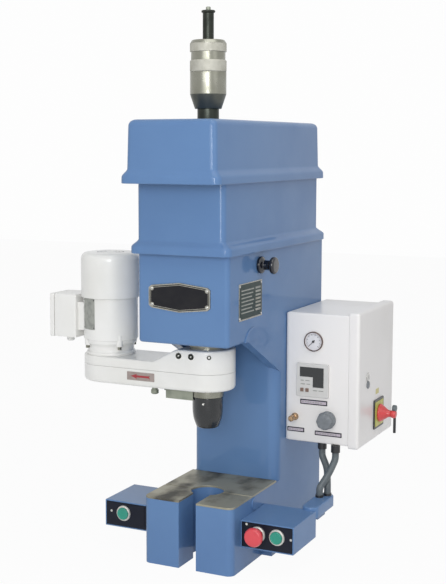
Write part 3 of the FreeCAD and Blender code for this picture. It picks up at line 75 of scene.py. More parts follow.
def new_group(name: str, inputs: dict[str, tuple[str, object]],
        outputs: dict[str, str]) -> bpy.types.NodeTree:
    """Make an empty shader node group with named sockets.

    Args:
        name: the group's name.
        inputs: socket name to (socket type, default value).
        outputs: socket name to socket type.

    Returns:
        The node tree, with its input and output nodes in place.
    """
    tree = bpy.data.node_groups.new(name, "ShaderNodeTree")
    for label, (kind, value) in inputs.items():
        socket = tree.interface.new_socket(name=label, in_out="INPUT", socket_type=kind)
        socket.default_value = value
    for label, kind in outputs.items():
        tree.interface.new_socket(name=label, in_out="OUTPUT", socket_type=kind)
    tree.nodes.new("NodeGroupInput").name = "In"
    tree.nodes.new("NodeGroupOutput").name = "Out"
    return tree


def wire(tree: bpy.types.NodeTree, start: tuple[str, str | int],
        end: tuple[str, str | int]) -> None:
    """Join an output socket to an input socket, each given as (node name, socket)."""
    tree.links.new(tree.nodes[start[0]].outputs[start[1]], tree.nodes[end[0]].inputs[end[1]])


def node(tree: bpy.types.NodeTree, kind: str, name: str, **settings: object) -> bpy.types.Node:
    """Add a named node and set its properties."""
    made = tree.nodes.new(kind)
    made.name = name
    for key, value in settings.items():
        setattr(made, key, value)
    return made


def relief_group() -> bpy.types.NodeTree:
    """The group that gives fine relief: noise on the stretched place of each point."""
    tree = new_group("fine_relief", {
        "Vector": ("NodeSocketVector", (0.0, 0.0, 0.0)),
        "Stretch": ("NodeSocketVector", (1.0, 1.0, 1.0)),
        "Scale": ("NodeSocketFloat", 400.0),
        "Detail": ("NodeSocketFloat", 2.0),
    }, {"Height": "NodeSocketFloat"})
    node(tree, "ShaderNodeVectorMath", "Stretched", operation="MULTIPLY")
    node(tree, "ShaderNodeTexNoise", "Noise")
    wire(tree, ("In", "Vector"), ("Stretched", 0))
    wire(tree, ("In", "Stretch"), ("Stretched", 1))
    wire(tree, ("Stretched", 0), ("Noise", "Vector"))
    wire(tree, ("In", "Scale"), ("Noise", "Scale"))
    wire(tree, ("In", "Detail"), ("Noise", "Detail"))
    wire(tree, ("Noise", "Fac"), ("Out", "Height"))
    return tree


def mottling_group() -> bpy.types.NodeTree:
    """The group that mixes two colours by broad noise: cloudiness, stains or handling marks."""
    tree = new_group("mottling", {
        "Vector": ("NodeSocketVector", (0.0, 0.0, 0.0)),
        "Stretch": ("NodeSocketVector", (1.0, 1.0, 1.0)),
        "Scale": ("NodeSocketFloat", 8.0),
        "Low": ("NodeSocketFloat", 0.4),
        "High": ("NodeSocketFloat", 0.7),
        "Colour": ("NodeSocketColor", (0.5, 0.5, 0.5, 1.0)),
        "Stain": ("NodeSocketColor", (0.3, 0.3, 0.3, 1.0)),
    }, {"Colour": "NodeSocketColor", "Mask": "NodeSocketFloat"})
    node(tree, "ShaderNodeVectorMath", "Stretched", operation="MULTIPLY")
    node(tree, "ShaderNodeTexNoise", "Noise").inputs["Detail"].default_value = 5.0
    node(tree, "ShaderNodeMapRange", "Range", interpolation_type="SMOOTHSTEP")
    node(tree, "ShaderNodeMix", "Mix", data_type="RGBA")
    wire(tree, ("In", "Vector"), ("Stretched", 0))
    wire(tree, ("In", "Stretch"), ("Stretched", 1))
    wire(tree, ("Stretched", 0), ("Noise", "Vector"))
    wire(tree, ("In", "Scale"), ("Noise", "Scale"))
    wire(tree, ("Noise", "Fac"), ("Range", "Value"))
    wire(tree, ("In", "Low"), ("Range", "From Min"))
    wire(tree, ("In", "High"), ("Range", "From Max"))
    mix = tree.nodes["Mix"]
    tree.links.new(tree.nodes["Range"].outputs["Result"], mix.inputs[0])
    tree.links.new(tree.nodes["In"].outputs["Colour"], mix.inputs[6])
    tree.links.new(tree.nodes["In"].outputs["Stain"], mix.inputs[7])
    tree.links.new(mix.outputs[2], tree.nodes["Out"].inputs["Colour"])
    wire(tree, ("Range", "Result"), ("Out", "Mask"))
    return tree


def settled_group() -> bpy.types.NodeTree:
    """The group that marks surfaces facing up, where dust and oil settle, broken up by noise."""
    tree = new_group("settled_dust", {
        "Vector": ("NodeSocketVector", (0.0, 0.0, 0.0)),
        "Scale": ("NodeSocketFloat", 30.0),
        "Amount": ("NodeSocketFloat", 0.2),
        "Colour": ("NodeSocketColor", (0.5, 0.5, 0.5, 1.0)),
        "Dust": ("NodeSocketColor", (0.5, 0.5, 0.47, 1.0)),
    }, {"Colour": "NodeSocketColor", "Mask": "NodeSocketFloat"})
    node(tree, "ShaderNodeNewGeometry", "Geometry")
    node(tree, "ShaderNodeSeparateXYZ", "Split")
    node(tree, "ShaderNodeMapRange", "Facing", interpolation_type="SMOOTHSTEP")
    tree.nodes["Facing"].inputs["From Min"].default_value = 0.6
    node(tree, "ShaderNodeTexNoise", "Noise").inputs["Detail"].default_value = 6.0
    node(tree, "ShaderNodeMath", "Broken", operation="MULTIPLY")
    node(tree, "ShaderNodeMath", "Share", operation="MULTIPLY")
    node(tree, "ShaderNodeMix", "Mix", data_type="RGBA")
    wire(tree, ("Geometry", "Normal"), ("Split", 0))
    wire(tree, ("Split", "Z"), ("Facing", "Value"))
    wire(tree, ("In", "Vector"), ("Noise", "Vector"))
    wire(tree, ("In", "Scale"), ("Noise", "Scale"))
    wire(tree, ("Facing", "Result"), ("Broken", 0))
    wire(tree, ("Noise", "Fac"), ("Broken", 1))
    wire(tree, ("Broken", 0), ("Share", 0))
    wire(tree, ("In", "Amount"), ("Share", 1))
    mix = tree.nodes["Mix"]
    tree.links.new(tree.nodes["Share"].outputs[0], mix.inputs[0])
    tree.links.new(tree.nodes["In"].outputs["Colour"], mix.inputs[6])
    tree.links.new(tree.nodes["In"].outputs["Dust"], mix.inputs[7])
    tree.links.new(mix.outputs[2], tree.nodes["Out"].inputs["Colour"])
    wire(tree, ("Share", 0), ("Out", "Mask"))
    return tree


def edge_wear_and_highlight_group() -> bpy.types.NodeTree:
    """The group that marks sharp edges, by the rounded normal's turn away from the true one, and
    lightens them: partly wear, partly a painted highlight along the edges.
    """
    tree = new_group("edge_wear_and_highlight", {
        "Vector": ("NodeSocketVector", (0.0, 0.0, 0.0)),
        "Width": ("NodeSocketFloat", 0.001),
        "Amount": ("NodeSocketFloat", 1.0),
        "Colour": ("NodeSocketColor", (0.5, 0.5, 0.5, 1.0)),
        "Bare_and_highlight": ("NodeSocketColor", (0.7, 0.7, 0.7, 1.0)),
    }, {"Colour": "NodeSocketColor", "Mask": "NodeSocketFloat"})
    node(tree, "ShaderNodeBevel", "Bevel", samples=4)
    node(tree, "ShaderNodeNewGeometry", "Geometry")
    node(tree, "ShaderNodeVectorMath", "Turn", operation="DOT_PRODUCT")
    node(tree, "ShaderNodeMapRange", "Range", interpolation_type="SMOOTHSTEP")
    tree.nodes["Range"].inputs["From Min"].default_value = 0.985
    tree.nodes["Range"].inputs["From Max"].default_value = 0.86
    node(tree, "ShaderNodeTexNoise", "Noise").inputs["Scale"].default_value = 90.0
    node(tree, "ShaderNodeMapRange", "Patches", interpolation_type="SMOOTHSTEP")
    tree.nodes["Patches"].inputs["From Min"].default_value = 0.35
    tree.nodes["Patches"].inputs["From Max"].default_value = 0.6
    node(tree, "ShaderNodeMath", "Broken", operation="MULTIPLY")
    node(tree, "ShaderNodeMath", "Share", operation="MULTIPLY")
    node(tree, "ShaderNodeMix", "Mix", data_type="RGBA")
    wire(tree, ("In", "Width"), ("Bevel", "Radius"))
    wire(tree, ("Bevel", "Normal"), ("Turn", 0))
    wire(tree, ("Geometry", "Normal"), ("Turn", 1))
    wire(tree, ("Turn", "Value"), ("Range", "Value"))
    wire(tree, ("In", "Vector"), ("Noise", "Vector"))
    wire(tree, ("Noise", "Fac"), ("Patches", "Value"))
    wire(tree, ("Range", "Result"), ("Broken", 0))
    wire(tree, ("Patches", "Result"), ("Broken", 1))
    wire(tree, ("Broken", 0), ("Share", 0))
    wire(tree, ("In", "Amount"), ("Share", 1))
    mix = tree.nodes["Mix"]
    tree.links.new(tree.nodes["Share"].outputs[0], mix.inputs[0])
    tree.links.new(tree.nodes["In"].outputs["Colour"], mix.inputs[6])
    tree.links.new(tree.nodes["In"].outputs["Bare_and_highlight"], mix.inputs[7])
    tree.links.new(mix.outputs[2], tree.nodes["Out"].inputs["Colour"])
    wire(tree, ("Share", 0), ("Out", "Mask"))
    return tree


GROUPS = {
    "relief": relief_group(),
    "mottling": mottling_group(),
    "settled": settled_group(),
    "edge_highlight_wear": edge_wear_and_highlight_group(),
}


@dataclass(frozen=True)
class Finish:
    """One surface finish, as the numbers its shader is made from.

    Colours are linear.  Scales are features per metre, and the relief is in millimetres.
    """

    name: str
    colour: Colour
    stain: Colour
    roughness: float = 0.4
    metallic: float = 0.0
    coat: float = 0.0
    coat_roughness: float = 0.06
    specular: float = 0.5
    cloud_scale: float = 7.0
    cloud_low: float = 0.35
    cloud_high: float = 0.75
    cloud_stretch: tuple[float, float, float] = (1.0, 1.0, 1.0)
    rough_spread: float = 0.06
    grain: Grain = Grain.PEEL
    grain_scale: float = 500.0
    grain_detail: float = 2.0
    relief: float = 0.02
    dust: float = 0.0
    dust_colour: Colour = (0.45, 0.44, 0.40)
    # The edge_ fields lighten sharp edges: partly wear, partly a painted highlight.
    edge_width: float = 0.0
    edge_amount: float = 0.6
    edge_colour: Colour = (0.7, 0.7, 0.7)

    def material(self) -> bpy.types.Material:
        """The Blender material of this finish, made on first use.

        Returns:
            A node material whose Principled shader stands in the material itself.
        """
        label = "finish_" + self.name
        found = bpy.data.materials.get(label)
        if found:
            return found
        made = bpy.data.materials.new(label)
        made.use_nodes = True
        made.diffuse_color = (*self.colour, 1.0)
        tree = made.node_tree
        shader = tree.nodes["Principled BSDF"]
        shader.inputs["Metallic"].default_value = self.metallic
        shader.inputs["Coat Weight"].default_value = self.coat
        shader.inputs["Coat Roughness"].default_value = self.coat_roughness
        shader.inputs["Specular IOR Level"].default_value = self.specular
        node(tree, "ShaderNodeTexCoord", "Place")
        clouds = node(tree, "ShaderNodeGroup", "Clouds", node_tree=GROUPS["mottling"])
        clouds.inputs["Stretch"].default_value = self.cloud_stretch
        clouds.inputs["Scale"].default_value = self.cloud_scale
        clouds.inputs["Low"].default_value = self.cloud_low
        clouds.inputs["High"].default_value = self.cloud_high
        clouds.inputs["Colour"].default_value = (*self.colour, 1.0)
        clouds.inputs["Stain"].default_value = (*self.stain, 1.0)
        wire(tree, ("Place", "Object"), ("Clouds", "Vector"))
        last = ("Clouds", "Colour")
        if self.dust:
            settled = node(tree, "ShaderNodeGroup", "Settled", node_tree=GROUPS["settled"])
            settled.inputs["Amount"].default_value = self.dust
            settled.inputs["Dust"].default_value = (*self.dust_colour, 1.0)
            wire(tree, ("Place", "Object"), ("Settled", "Vector"))
            wire(tree, last, ("Settled", "Colour"))
            last = ("Settled", "Colour")
        # Sharp edges are mixed towards edge_colour: partly wear, partly a painted highlight along
        # the edges.
        if self.edge_width:
            edge_highlight_wear = node(tree, "ShaderNodeGroup", "EdgeHighlightWear", node_tree=GROUPS["edge_highlight_wear"])
            edge_highlight_wear.inputs["Width"].default_value = self.edge_width * MM
            edge_highlight_wear.inputs["Amount"].default_value = self.edge_amount
            edge_highlight_wear.inputs["Bare_and_highlight"].default_value = (*self.edge_colour, 1.0)
            wire(tree, ("Place", "Object"), ("EdgeHighlightWear", "Vector"))
            wire(tree, last, ("EdgeHighlightWear", "Colour"))
            last = ("EdgeHighlightWear", "Colour")
        wire(tree, last, ("Principled BSDF", "Base Color"))
        spread = node(tree, "ShaderNodeMapRange", "Spread")
        spread.inputs["To Min"].default_value = max(0.02, self.roughness - self.rough_spread)
        spread.inputs["To Max"].default_value = min(1.0, self.roughness + self.rough_spread)
        wire(tree, ("Clouds", "Mask"), ("Spread", "Value"))
        wire(tree, ("Spread", "Result"), ("Principled BSDF", "Roughness"))
        if self.grain is not Grain.NONE:
            fine = node(tree, "ShaderNodeGroup", "Fine", node_tree=GROUPS["relief"])
            fine.inputs["Stretch"].default_value = self.grain.value
            fine.inputs["Scale"].default_value = self.grain_scale
            fine.inputs["Detail"].default_value = self.grain_detail
            bump = node(tree, "ShaderNodeBump", "Bump")
            bump.inputs["Strength"].default_value = 1.0
            bump.inputs["Distance"].default_value = self.relief * MM
            wire(tree, ("Place", "Object"), ("Fine", "Vector"))
            wire(tree, ("Fine", "Height"), ("Bump", "Height"))
            wire(tree, ("Bump", "Normal"), ("Principled BSDF", "Normal"))
        return made


# The lighter blue edge colour is a painted highlight along the sharp edges, not wear.
BLUE_ENAMEL = Finish(
    "blue_enamel", (0.110, 0.212, 0.402), (0.098, 0.192, 0.378), roughness=0.45, coat=0.4,
    specular=0.1,
    coat_roughness=0.06, cloud_scale=5.0, relief=0.035, grain_scale=260.0, dust=0.16,
    dust_colour=(0.20, 0.28, 0.38), edge_width=1.2, edge_amount=0.3, edge_colour=(0.24, 0.37, 0.56))
WHITE_ENAMEL = Finish(
    "white_enamel", (0.80, 0.795, 0.77), (0.74, 0.735, 0.70), roughness=0.34, coat=0.3,
    cloud_scale=9.0, relief=0.03, grain_scale=300.0, dust=0.10, dust_colour=(0.62, 0.61, 0.57))
BOX_ENAMEL = Finish(
    "box_enamel", (0.79, 0.77, 0.755), (0.76, 0.74, 0.72), roughness=0.38, coat=0.15,
    cloud_scale=6.0, relief=0.025, grain_scale=700.0, dust=0.12, dust_colour=(0.5, 0.51, 0.48))
# The bright edge colour is partly wear of the bare steel, partly a painted highlight along the
# plate's edges.
GROUND_STEEL = Finish(
    "ground_steel", (0.32, 0.30, 0.22), (0.055, 0.052, 0.042), roughness=0.5, metallic=0.35,
    cloud_scale=13.0, cloud_low=0.42, cloud_high=0.66, cloud_stretch=(1.0, 0.7, 1.0),
    rough_spread=0.12,
    grain=Grain.ACROSS, grain_scale=900.0, relief=0.02, edge_width=0.8, edge_amount=0.9,
    edge_colour=(0.62, 0.64, 0.64))
SATIN_STEEL = Finish(
    "satin_steel", (0.28, 0.28, 0.24), (0.22, 0.22, 0.18), roughness=0.32, metallic=1.0,
    cloud_scale=30.0, grain=Grain.LATHE, grain_scale=2400.0, relief=0.012)
KNURLED_STEEL = replace(
    SATIN_STEEL, name="knurled_steel", colour=(0.50, 0.49, 0.43), stain=(0.42, 0.41, 0.35),
    roughness=0.55, metallic=0.3,
    cloud_scale=60.0, grain=Grain.PEEL, grain_scale=900.0)
DARK_STEEL = Finish(
    "dark_steel", (0.045, 0.050, 0.043), (0.030, 0.034, 0.030), roughness=0.4, metallic=1.0,
    cloud_scale=40.0, grain=Grain.LATHE, grain_scale=2000.0, relief=0.012)
CONE_STEEL = replace(DARK_STEEL, name="cone_steel", colour=(0.13, 0.135, 0.12),
    stain=(0.09, 0.095, 0.085), roughness=0.42)
BLACK_OXIDE = Finish(
    "black_oxide", (0.006, 0.008, 0.010), (0.011, 0.013, 0.015), roughness=0.3, metallic=0.0,
    coat=0.3, cloud_scale=50.0, grain=Grain.LATHE, grain_scale=1500.0, relief=0.008)
ZINC_GREY = Finish(
    "zinc_grey", (0.30, 0.32, 0.26), (0.20, 0.22, 0.18), roughness=0.45, metallic=0.4,
    cloud_scale=35.0, relief=0.03)
PLATE_SILVER = Finish(
    "plate_silver", (0.40, 0.39, 0.35), (0.30, 0.30, 0.26), roughness=0.32, metallic=0.9,
    cloud_scale=90.0, grain=Grain.PEEL, grain_scale=1200.0, relief=0.01)
ETCHED_GREY = replace(
    PLATE_SILVER, name="etched_grey", colour=(0.34, 0.35, 0.32), stain=(0.26, 0.27, 0.25),
    metallic=0.35,
    roughness=0.5)
PLATE_BLACK = Finish(
    "plate_black", (0.009, 0.009, 0.012), (0.014, 0.014, 0.016), roughness=0.5, specular=0.2,
    cloud_scale=60.0,
    relief=0.02, grain_scale=900.0)
PLATE_GREEN = replace(
    PLATE_BLACK, name="plate_green", colour=(0.010, 0.028, 0.026), stain=(0.016, 0.034, 0.031),
    roughness=0.35)
PANEL_BLACK = Finish(
    "panel_black", (0.006, 0.008, 0.017), (0.010, 0.012, 0.020), roughness=0.5, specular=0.2,
    cloud_scale=40.0,
    grain_scale=1500.0, relief=0.01)
MOULDED_BLACK = Finish(
    "moulded_black", (0.014, 0.015, 0.018), (0.02, 0.02, 0.023), roughness=0.35, cloud_scale=60.0,
    grain_scale=1500.0, relief=0.015)
BALL_BLACK = Finish(
    "polished_black", (0.006, 0.007, 0.012), (0.008, 0.009, 0.014), roughness=0.16, coat=0.3,
    coat_roughness=0.03, relief=0.004)
DISPLAY_BLACK = replace(BALL_BLACK, name="display_black", colour=(0.013, 0.015, 0.017),
    roughness=0.18)
GREEN_CAP = Finish(
    "green_cap", (0.004, 0.27, 0.19), (0.004, 0.24, 0.165), roughness=0.3, coat=0.3,
    cloud_scale=60.0, grain_scale=1500.0, relief=0.008)
RED_CAP = Finish(
    "red_cap", (0.66, 0.058, 0.075), (0.60, 0.05, 0.065), roughness=0.34, coat=0.25,
    cloud_scale=50.0, grain_scale=1500.0, relief=0.01)
RED_HANDLE = replace(RED_CAP, name="red_handle", colour=(0.62, 0.055, 0.06),
    stain=(0.55, 0.05, 0.05))
BEZEL_GREY = Finish(
    "bezel_grey", (0.60, 0.585, 0.55), (0.5, 0.49, 0.46), roughness=0.28, metallic=0.35,
    cloud_scale=50.0, grain_scale=1500.0, relief=0.008)
KNOB_GREY = Finish(
    "knob_grey", (0.185, 0.20, 0.215), (0.15, 0.165, 0.18), roughness=0.5, cloud_scale=70.0,
    grain_scale=1300.0, relief=0.03)
CONDUIT_GREY = Finish(
    "conduit_grey", (0.105, 0.125, 0.135), (0.085, 0.10, 0.11), roughness=0.5, cloud_scale=40.0,
    grain_scale=1000.0, relief=0.02)
YELLOW_FACE = Finish(
    "yellow_face", (0.58, 0.53, 0.12), (0.42, 0.47, 0.10), roughness=0.42, cloud_scale=40.0,
    grain_scale=1200.0, relief=0.01)
BRASS = Finish(
    "turned_brass", (0.46, 0.32, 0.20), (0.34, 0.23, 0.14), roughness=0.26, metallic=1.0,
    cloud_scale=80.0, grain_scale=1500.0, relief=0.01)
BRONZE = replace(BRASS, name="bearing_bronze", colour=(0.45, 0.30, 0.13), stain=(0.35, 0.22, 0.10))
CHROME = Finish(
    "bright_chrome", (0.55, 0.55, 0.53), (0.45, 0.45, 0.44), roughness=0.12, metallic=1.0,
    cloud_scale=70.0, grain_scale=1500.0, relief=0.004)
RUBBER = Finish(
    "belt_rubber", (0.014, 0.014, 0.014), (0.03, 0.03, 0.03), roughness=0.75, cloud_scale=60.0,
    grain_scale=900.0, relief=0.05)
GAUGE_WHITE = Finish(
    "gauge_white", (0.72, 0.71, 0.73), (0.66, 0.65, 0.67), roughness=0.45, cloud_scale=60.0,
    grain_scale=900.0, relief=0.005)
GAUGE_RIM = Finish(
    "gauge_rim", (0.16, 0.115, 0.105), (0.12, 0.09, 0.085), roughness=0.28, metallic=0.7,
    cloud_scale=70.0, relief=0.006)
TIMER_FRAME = Finish(
    "timer_frame", (0.60, 0.59, 0.57), (0.57, 0.56, 0.54), roughness=0.42, cloud_scale=60.0,
    grain_scale=1400.0, relief=0.015)
KEY_BROWN = Finish(
    "key_brown", (0.20, 0.13, 0.10), (0.16, 0.10, 0.08), roughness=0.5, cloud_scale=90.0,
    grain_scale=1400.0, relief=0.01)
ARROW_RED = Finish(
    "arrow_red", (0.36, 0.035, 0.045), (0.30, 0.03, 0.04), roughness=0.45, cloud_scale=90.0,
    relief=0.005)
ARROW_SILVER = replace(
    PLATE_SILVER, name="arrow_silver", colour=(0.36, 0.30, 0.28), stain=(0.30, 0.25, 0.23),
    metallic=0.3,
    roughness=0.5)
STICKER_YELLOW = replace(
    YELLOW_FACE, name="sticker_yellow", colour=(0.62, 0.57, 0.28), stain=(0.56, 0.52, 0.25),
    roughness=0.6)
STRIP_PALE = Finish(
    "strip_pale", (0.50, 0.44, 0.50), (0.46, 0.41, 0.46), roughness=0.45, cloud_scale=90.0,
    relief=0.005)


# --- surfaces ------------------------------------------------------------------------


class Facing(Enum):
    """Which way a piece's own height runs: rows are its x, y and height in the machine's frame."""

    UP = ((1.0, 0.0, 0.0), (0.0, 1.0, 0.0), (0.0, 0.0, 1.0))
    FRONT = ((1.0, 0.0, 0.0), (0.0, 0.0, 1.0), (0.0, -1.0, 0.0))
    RIGHT = ((0.0, 1.0, 0.0), (0.0, 0.0, 1.0), (1.0, 0.0, 0.0))


@dataclass
class Surface:
    """Points in millimetres and the faces that join them."""

    points: Array
    faces: list[Sequence[int]]

    def moved(self, x: float = 0.0, y: float = 0.0, z: float = 0.0) -> "Surface":
        """The same surface carried by a step."""
        return Surface(self.points + np.array([x, y, z]), self.faces)

    def turned_about(self, axis: int, degrees: float, centre: Sequence[float]) -> "Surface":
        """The same surface turned about an axis through a point.

        Args:
            axis: 0, 1 or 2 for X, Y or Z.
            degrees: the turn, right-handed about that axis.
            centre: a point on the axis.

        Returns:
            The turned surface.
        """
        angle = math.radians(degrees)
        one, two = (axis + 1) % 3, (axis + 2) % 3
        spin = np.eye(3)
        spin[one, one] = spin[two, two] = math.cos(angle)
        spin[two, one] = math.sin(angle)
        spin[one, two] = -math.sin(angle)
        return Surface((self.points - centre) @ spin.T + centre, self.faces)


def placed(local: Array, centre: Sequence[float], facing: Facing) -> Array:
    """Points from a piece's own x, y and height into the machine's frame."""
    return local.reshape(-1, 3) @ np.array(facing.value) + np.array(centre, float)


def grid_faces(rows: int, cols: int, wrap_cols: bool = True,
        wrap_rows: bool = False) -> list[Sequence[int]]:
    """Quads of a grid of points.

    Args:
        rows: number of rows.
        cols: number of points in a row.
        wrap_cols: whether the last column joins the first.
        wrap_rows: whether the last row joins the first.

    Returns:
        Four point indices per face, row by row.
    """
    i, j = np.meshgrid(
        np.arange(rows if wrap_rows else rows - 1), np.arange(cols if wrap_cols else cols - 1),
        indexing="ij")
    up, over = (i + 1) % rows, (j + 1) % cols
    quads = np.stack([i * cols + j, i * cols + over, up * cols + over, up * cols + j], axis=-1)
    return quads.reshape(-1, 4).tolist()


def eased(corners: Sequence[Sequence[float]], ease: float | Sequence[float],
        steps: int = 6) -> Array:
    """Round the inner corners of an open line.

    A corner C between neighbours A and B becomes (1-t)^2 (C+ea) + 2t(1-t) C + t^2 (C+eb) for t
    from 0 to 1, where a and b are unit vectors towards A and B and e is the ease.

    Args:
        corners: points of the line, its two ends included.
        ease: how far each rounding reaches along its sides, for all or for each inner corner.
        steps: points on each rounding.

    Returns:
        The points of the eased line.
    """
    line = np.asarray(corners, float)
    corner = line[1:-1]
    before, after = line[:-2] - corner, line[2:] - corner
    long_before = np.linalg.norm(before, axis=1, keepdims=True)
    long_after = np.linalg.norm(after, axis=1, keepdims=True)
    reach = np.broadcast_to(np.asarray(ease, float), len(corner))[:, None]
    reach = np.minimum(reach, 0.49 * np.minimum(long_before, long_after))
    t = np.linspace(0.0, 1.0, steps)[None, :, None]
    start = (corner + before / long_before * reach)[:, None]
    end = (corner + after / long_after * reach)[:, None]
    curve = (1 - t) ** 2 * start + 2 * t * (1 - t) * corner[:, None] + t**2 * end
    return np.vstack([line[:1], curve.reshape(-1, line.shape[1]), line[-1:]])


def carried(
    posts: Sequence[Sequence[float]], profile: Array, centre: Sequence[float] = (0.0, 0.0, 0.0),
    facing: Facing = Facing.UP, steps: int = 64, ring: bool = False,
) -> Surface:
    """A profile carried round one post or two: a turned piece, or a long piece with round ends.

    P(u, v) = post(u) + r(v) n(u) across and h(v) along, where n(u) goes once round and post(u)
    is the post that n(u) belongs to.

    Args:
        posts: one or two (x, y) posts in the piece's own plane, the second one to the left.
        profile: rows of (radius, height).
        centre: where the piece's own origin stands.
        facing: which way its height runs.
        steps: points round a full turn.
        ring: whether the profile closes on itself; otherwise both its ends are closed flat.

    Returns:
        The surface.
    """
    profile = np.asarray(profile, float)
    posts = np.asarray(posts, float)
    if len(posts) == 1:
        turn = np.linspace(0.0, TURN, steps, endpoint=False)
        spine = np.repeat(posts, steps, axis=0)
    else:
        half = np.linspace(-math.pi / 2, math.pi / 2, steps // 2 + 1)
        turn = np.concatenate([half, half + math.pi])
        spine = np.repeat(posts, len(half), axis=0)
    normal = np.stack([np.cos(turn), np.sin(turn)], axis=1)
    flat = spine[None] + profile[:, :1, None] * normal[None]
    height = np.broadcast_to(profile[:, 1:2, None], flat.shape[:2] + (1,))
    points = placed(np.concatenate([flat, height], axis=2), centre, facing)
    rows, cols = flat.shape[:2]
    faces = grid_faces(rows, cols, wrap_rows=ring)
    if not ring:
        faces += end_caps(rows, cols, profile[0, 0] > 1e-6 or len(posts) > 1,
            profile[-1, 0] > 1e-6 or len(posts) > 1)
    return Surface(points, faces)


def end_caps(rows: int, cols: int, first: bool = True, last: bool = True) -> list[Sequence[int]]:
    """Flat faces that close the first and last rows of a grid."""
    caps: list[Sequence[int]] = []
    if first:
        caps.append(list(range(cols - 1, -1, -1)))
    if last:
        caps.append(list(range((rows - 1) * cols, rows * cols)))
    return caps


def turned(
    corners: Sequence[Sequence[float]], ease: float | Sequence[float], centre: Sequence[float],
    facing: Facing = Facing.UP, steps: int = 64, ring: bool = False,
) -> Surface:
    """A piece turned about its own height from an eased outline of (radius, height) corners."""
    return carried([(0.0, 0.0)], eased(corners, ease), centre, facing, steps, ring)


def lofted(
    rows: Array, centre: Sequence[float] = (0.0, 0.0, 0.0), facing: Facing = Facing.UP,
    steps: int = 7,
    corners: Sequence[float] = (1.0, 1.0, 1.0, 1.0), ring: bool = False,
) -> Surface:
    """Rounded rectangles joined one above the other.

    P(u, v) = corner post(u, v) + c(v) n(u) across and h(v) along, where n(u) goes once round,
    a quarter at each corner, and each post stands its radius c(v) inside its corner.

    Args:
        rows: rows of (x0, x1, y0, y1, corner radius, height).
        centre: where the piece's own origin stands.
        facing: which way its height runs.
        steps: points on each corner.
        corners: share of the radius at the corners x1y1, x0y1, x0y0 and x1y0.
        ring: whether the last row joins the first; otherwise both end rows are closed flat.

    Returns:
        The surface.
    """
    rows = np.asarray(rows, float)
    quarter = np.linspace(0.0, math.pi / 2, steps)
    turn = (np.arange(4)[:, None] * math.pi / 2 + quarter).ravel()
    normal = np.stack([np.cos(turn), np.sin(turn)], axis=1)
    right = np.repeat([True, False, False, True], steps)
    top = np.repeat([True, True, False, False], steps)
    share = np.repeat(np.asarray(corners, float), steps)
    radius = rows[:, 4:5] * share[None]
    x = np.where(right, rows[:, 1:2] - radius, rows[:, 0:1] + radius) + radius * normal[:, 0]
    y = np.where(top, rows[:, 3:4] - radius, rows[:, 2:3] + radius) + radius * normal[:, 1]
    height = np.broadcast_to(rows[:, 5:6], x.shape)
    points = placed(np.stack([x, y, height], axis=2), centre, facing)
    faces = grid_faces(*x.shape, wrap_rows=ring)
    if not ring:
        faces += end_caps(*x.shape)
    return Surface(points, faces)


def inset_rows(plan: Sequence[float], corner: float, path: Array) -> Array:
    """Rows for lofted(): one plan drawn in by a distance at each height.

    Args:
        plan: (x0, x1, y0, y1).
        corner: corner radius of the plan.
        path: rows of (distance in, height).

    Returns:
        Rows of (x0, x1, y0, y1, corner radius, height).
    """
    path = np.asarray(path, float)
    inward, height = path[:, 0], path[:, 1]
    return np.stack([
        plan[0] + inward, plan[1] - inward, plan[2] + inward, plan[3] - inward,
        np.maximum(corner - inward, 0.05), height], axis=1)


def block(
    low: Sequence[float], high: Sequence[float], corner: float, edge: float,
    facing: Facing = Facing.UP,
    foot_edge: float | None = None,
) -> Surface:
    """A block between two corners of the machine's frame, rounded along its height and at its ends.

    Args:
        low: lowest x, y and z.
        high: highest x, y and z.
        corner: radius of the edges that run along the piece's own height.
        edge: rounding of its far end.
        facing: which way its height runs.
        foot_edge: rounding of its near end, the same as the far one if not given.

    Returns:
        The surface.
    """
    ends = np.array([low, high], float) @ np.array(facing.value).T
    x0, y0, h0 = ends.min(axis=0)
    x1, y1, h1 = ends.max(axis=0)
    foot = edge if foot_edge is None else foot_edge
    path = eased(
        [(max(edge, foot), h0), (0.0, h0), (0.0, h1), (max(edge, foot), h1)], [foot, edge], steps=5)
    return lofted(inset_rows((x0, x1, y0, y1), corner, path), facing=facing)


def slab(outline: Sequence[Sequence[float]], foot: float, top: float, edge: float,
        centre: Sequence[float],
         facing: Facing = Facing.UP) -> Surface:
    """A flat plate cut to a convex or arrow-like outline, with a small flat chamfer round its top.

    The chamfer row is the outline drawn towards its middle by the edge's share of its size.

    Args:
        outline: (x, y) corners, anticlockwise.
        foot: height of its underside.
        top: height of its face.
        edge: width of the chamfer.
        centre: where the piece's own origin stands.
        facing: which way its height runs.

    Returns:
        The surface.
    """
    line = np.asarray(outline, float)
    middle = (line.min(axis=0) + line.max(axis=0)) / 2
    size = (line.max(axis=0) - line.min(axis=0)) / 2
    drawn = middle + (line - middle) * (1 - edge / size)
    stack = [(line, foot), (line, top - edge), (drawn, top)]
    local = np.vstack([np.column_stack([shape, np.full(len(line), height)]) for shape,
        height in stack])
    return Surface(placed(local, centre, facing), grid_faces(3, len(line)) + end_caps(3, len(line)))


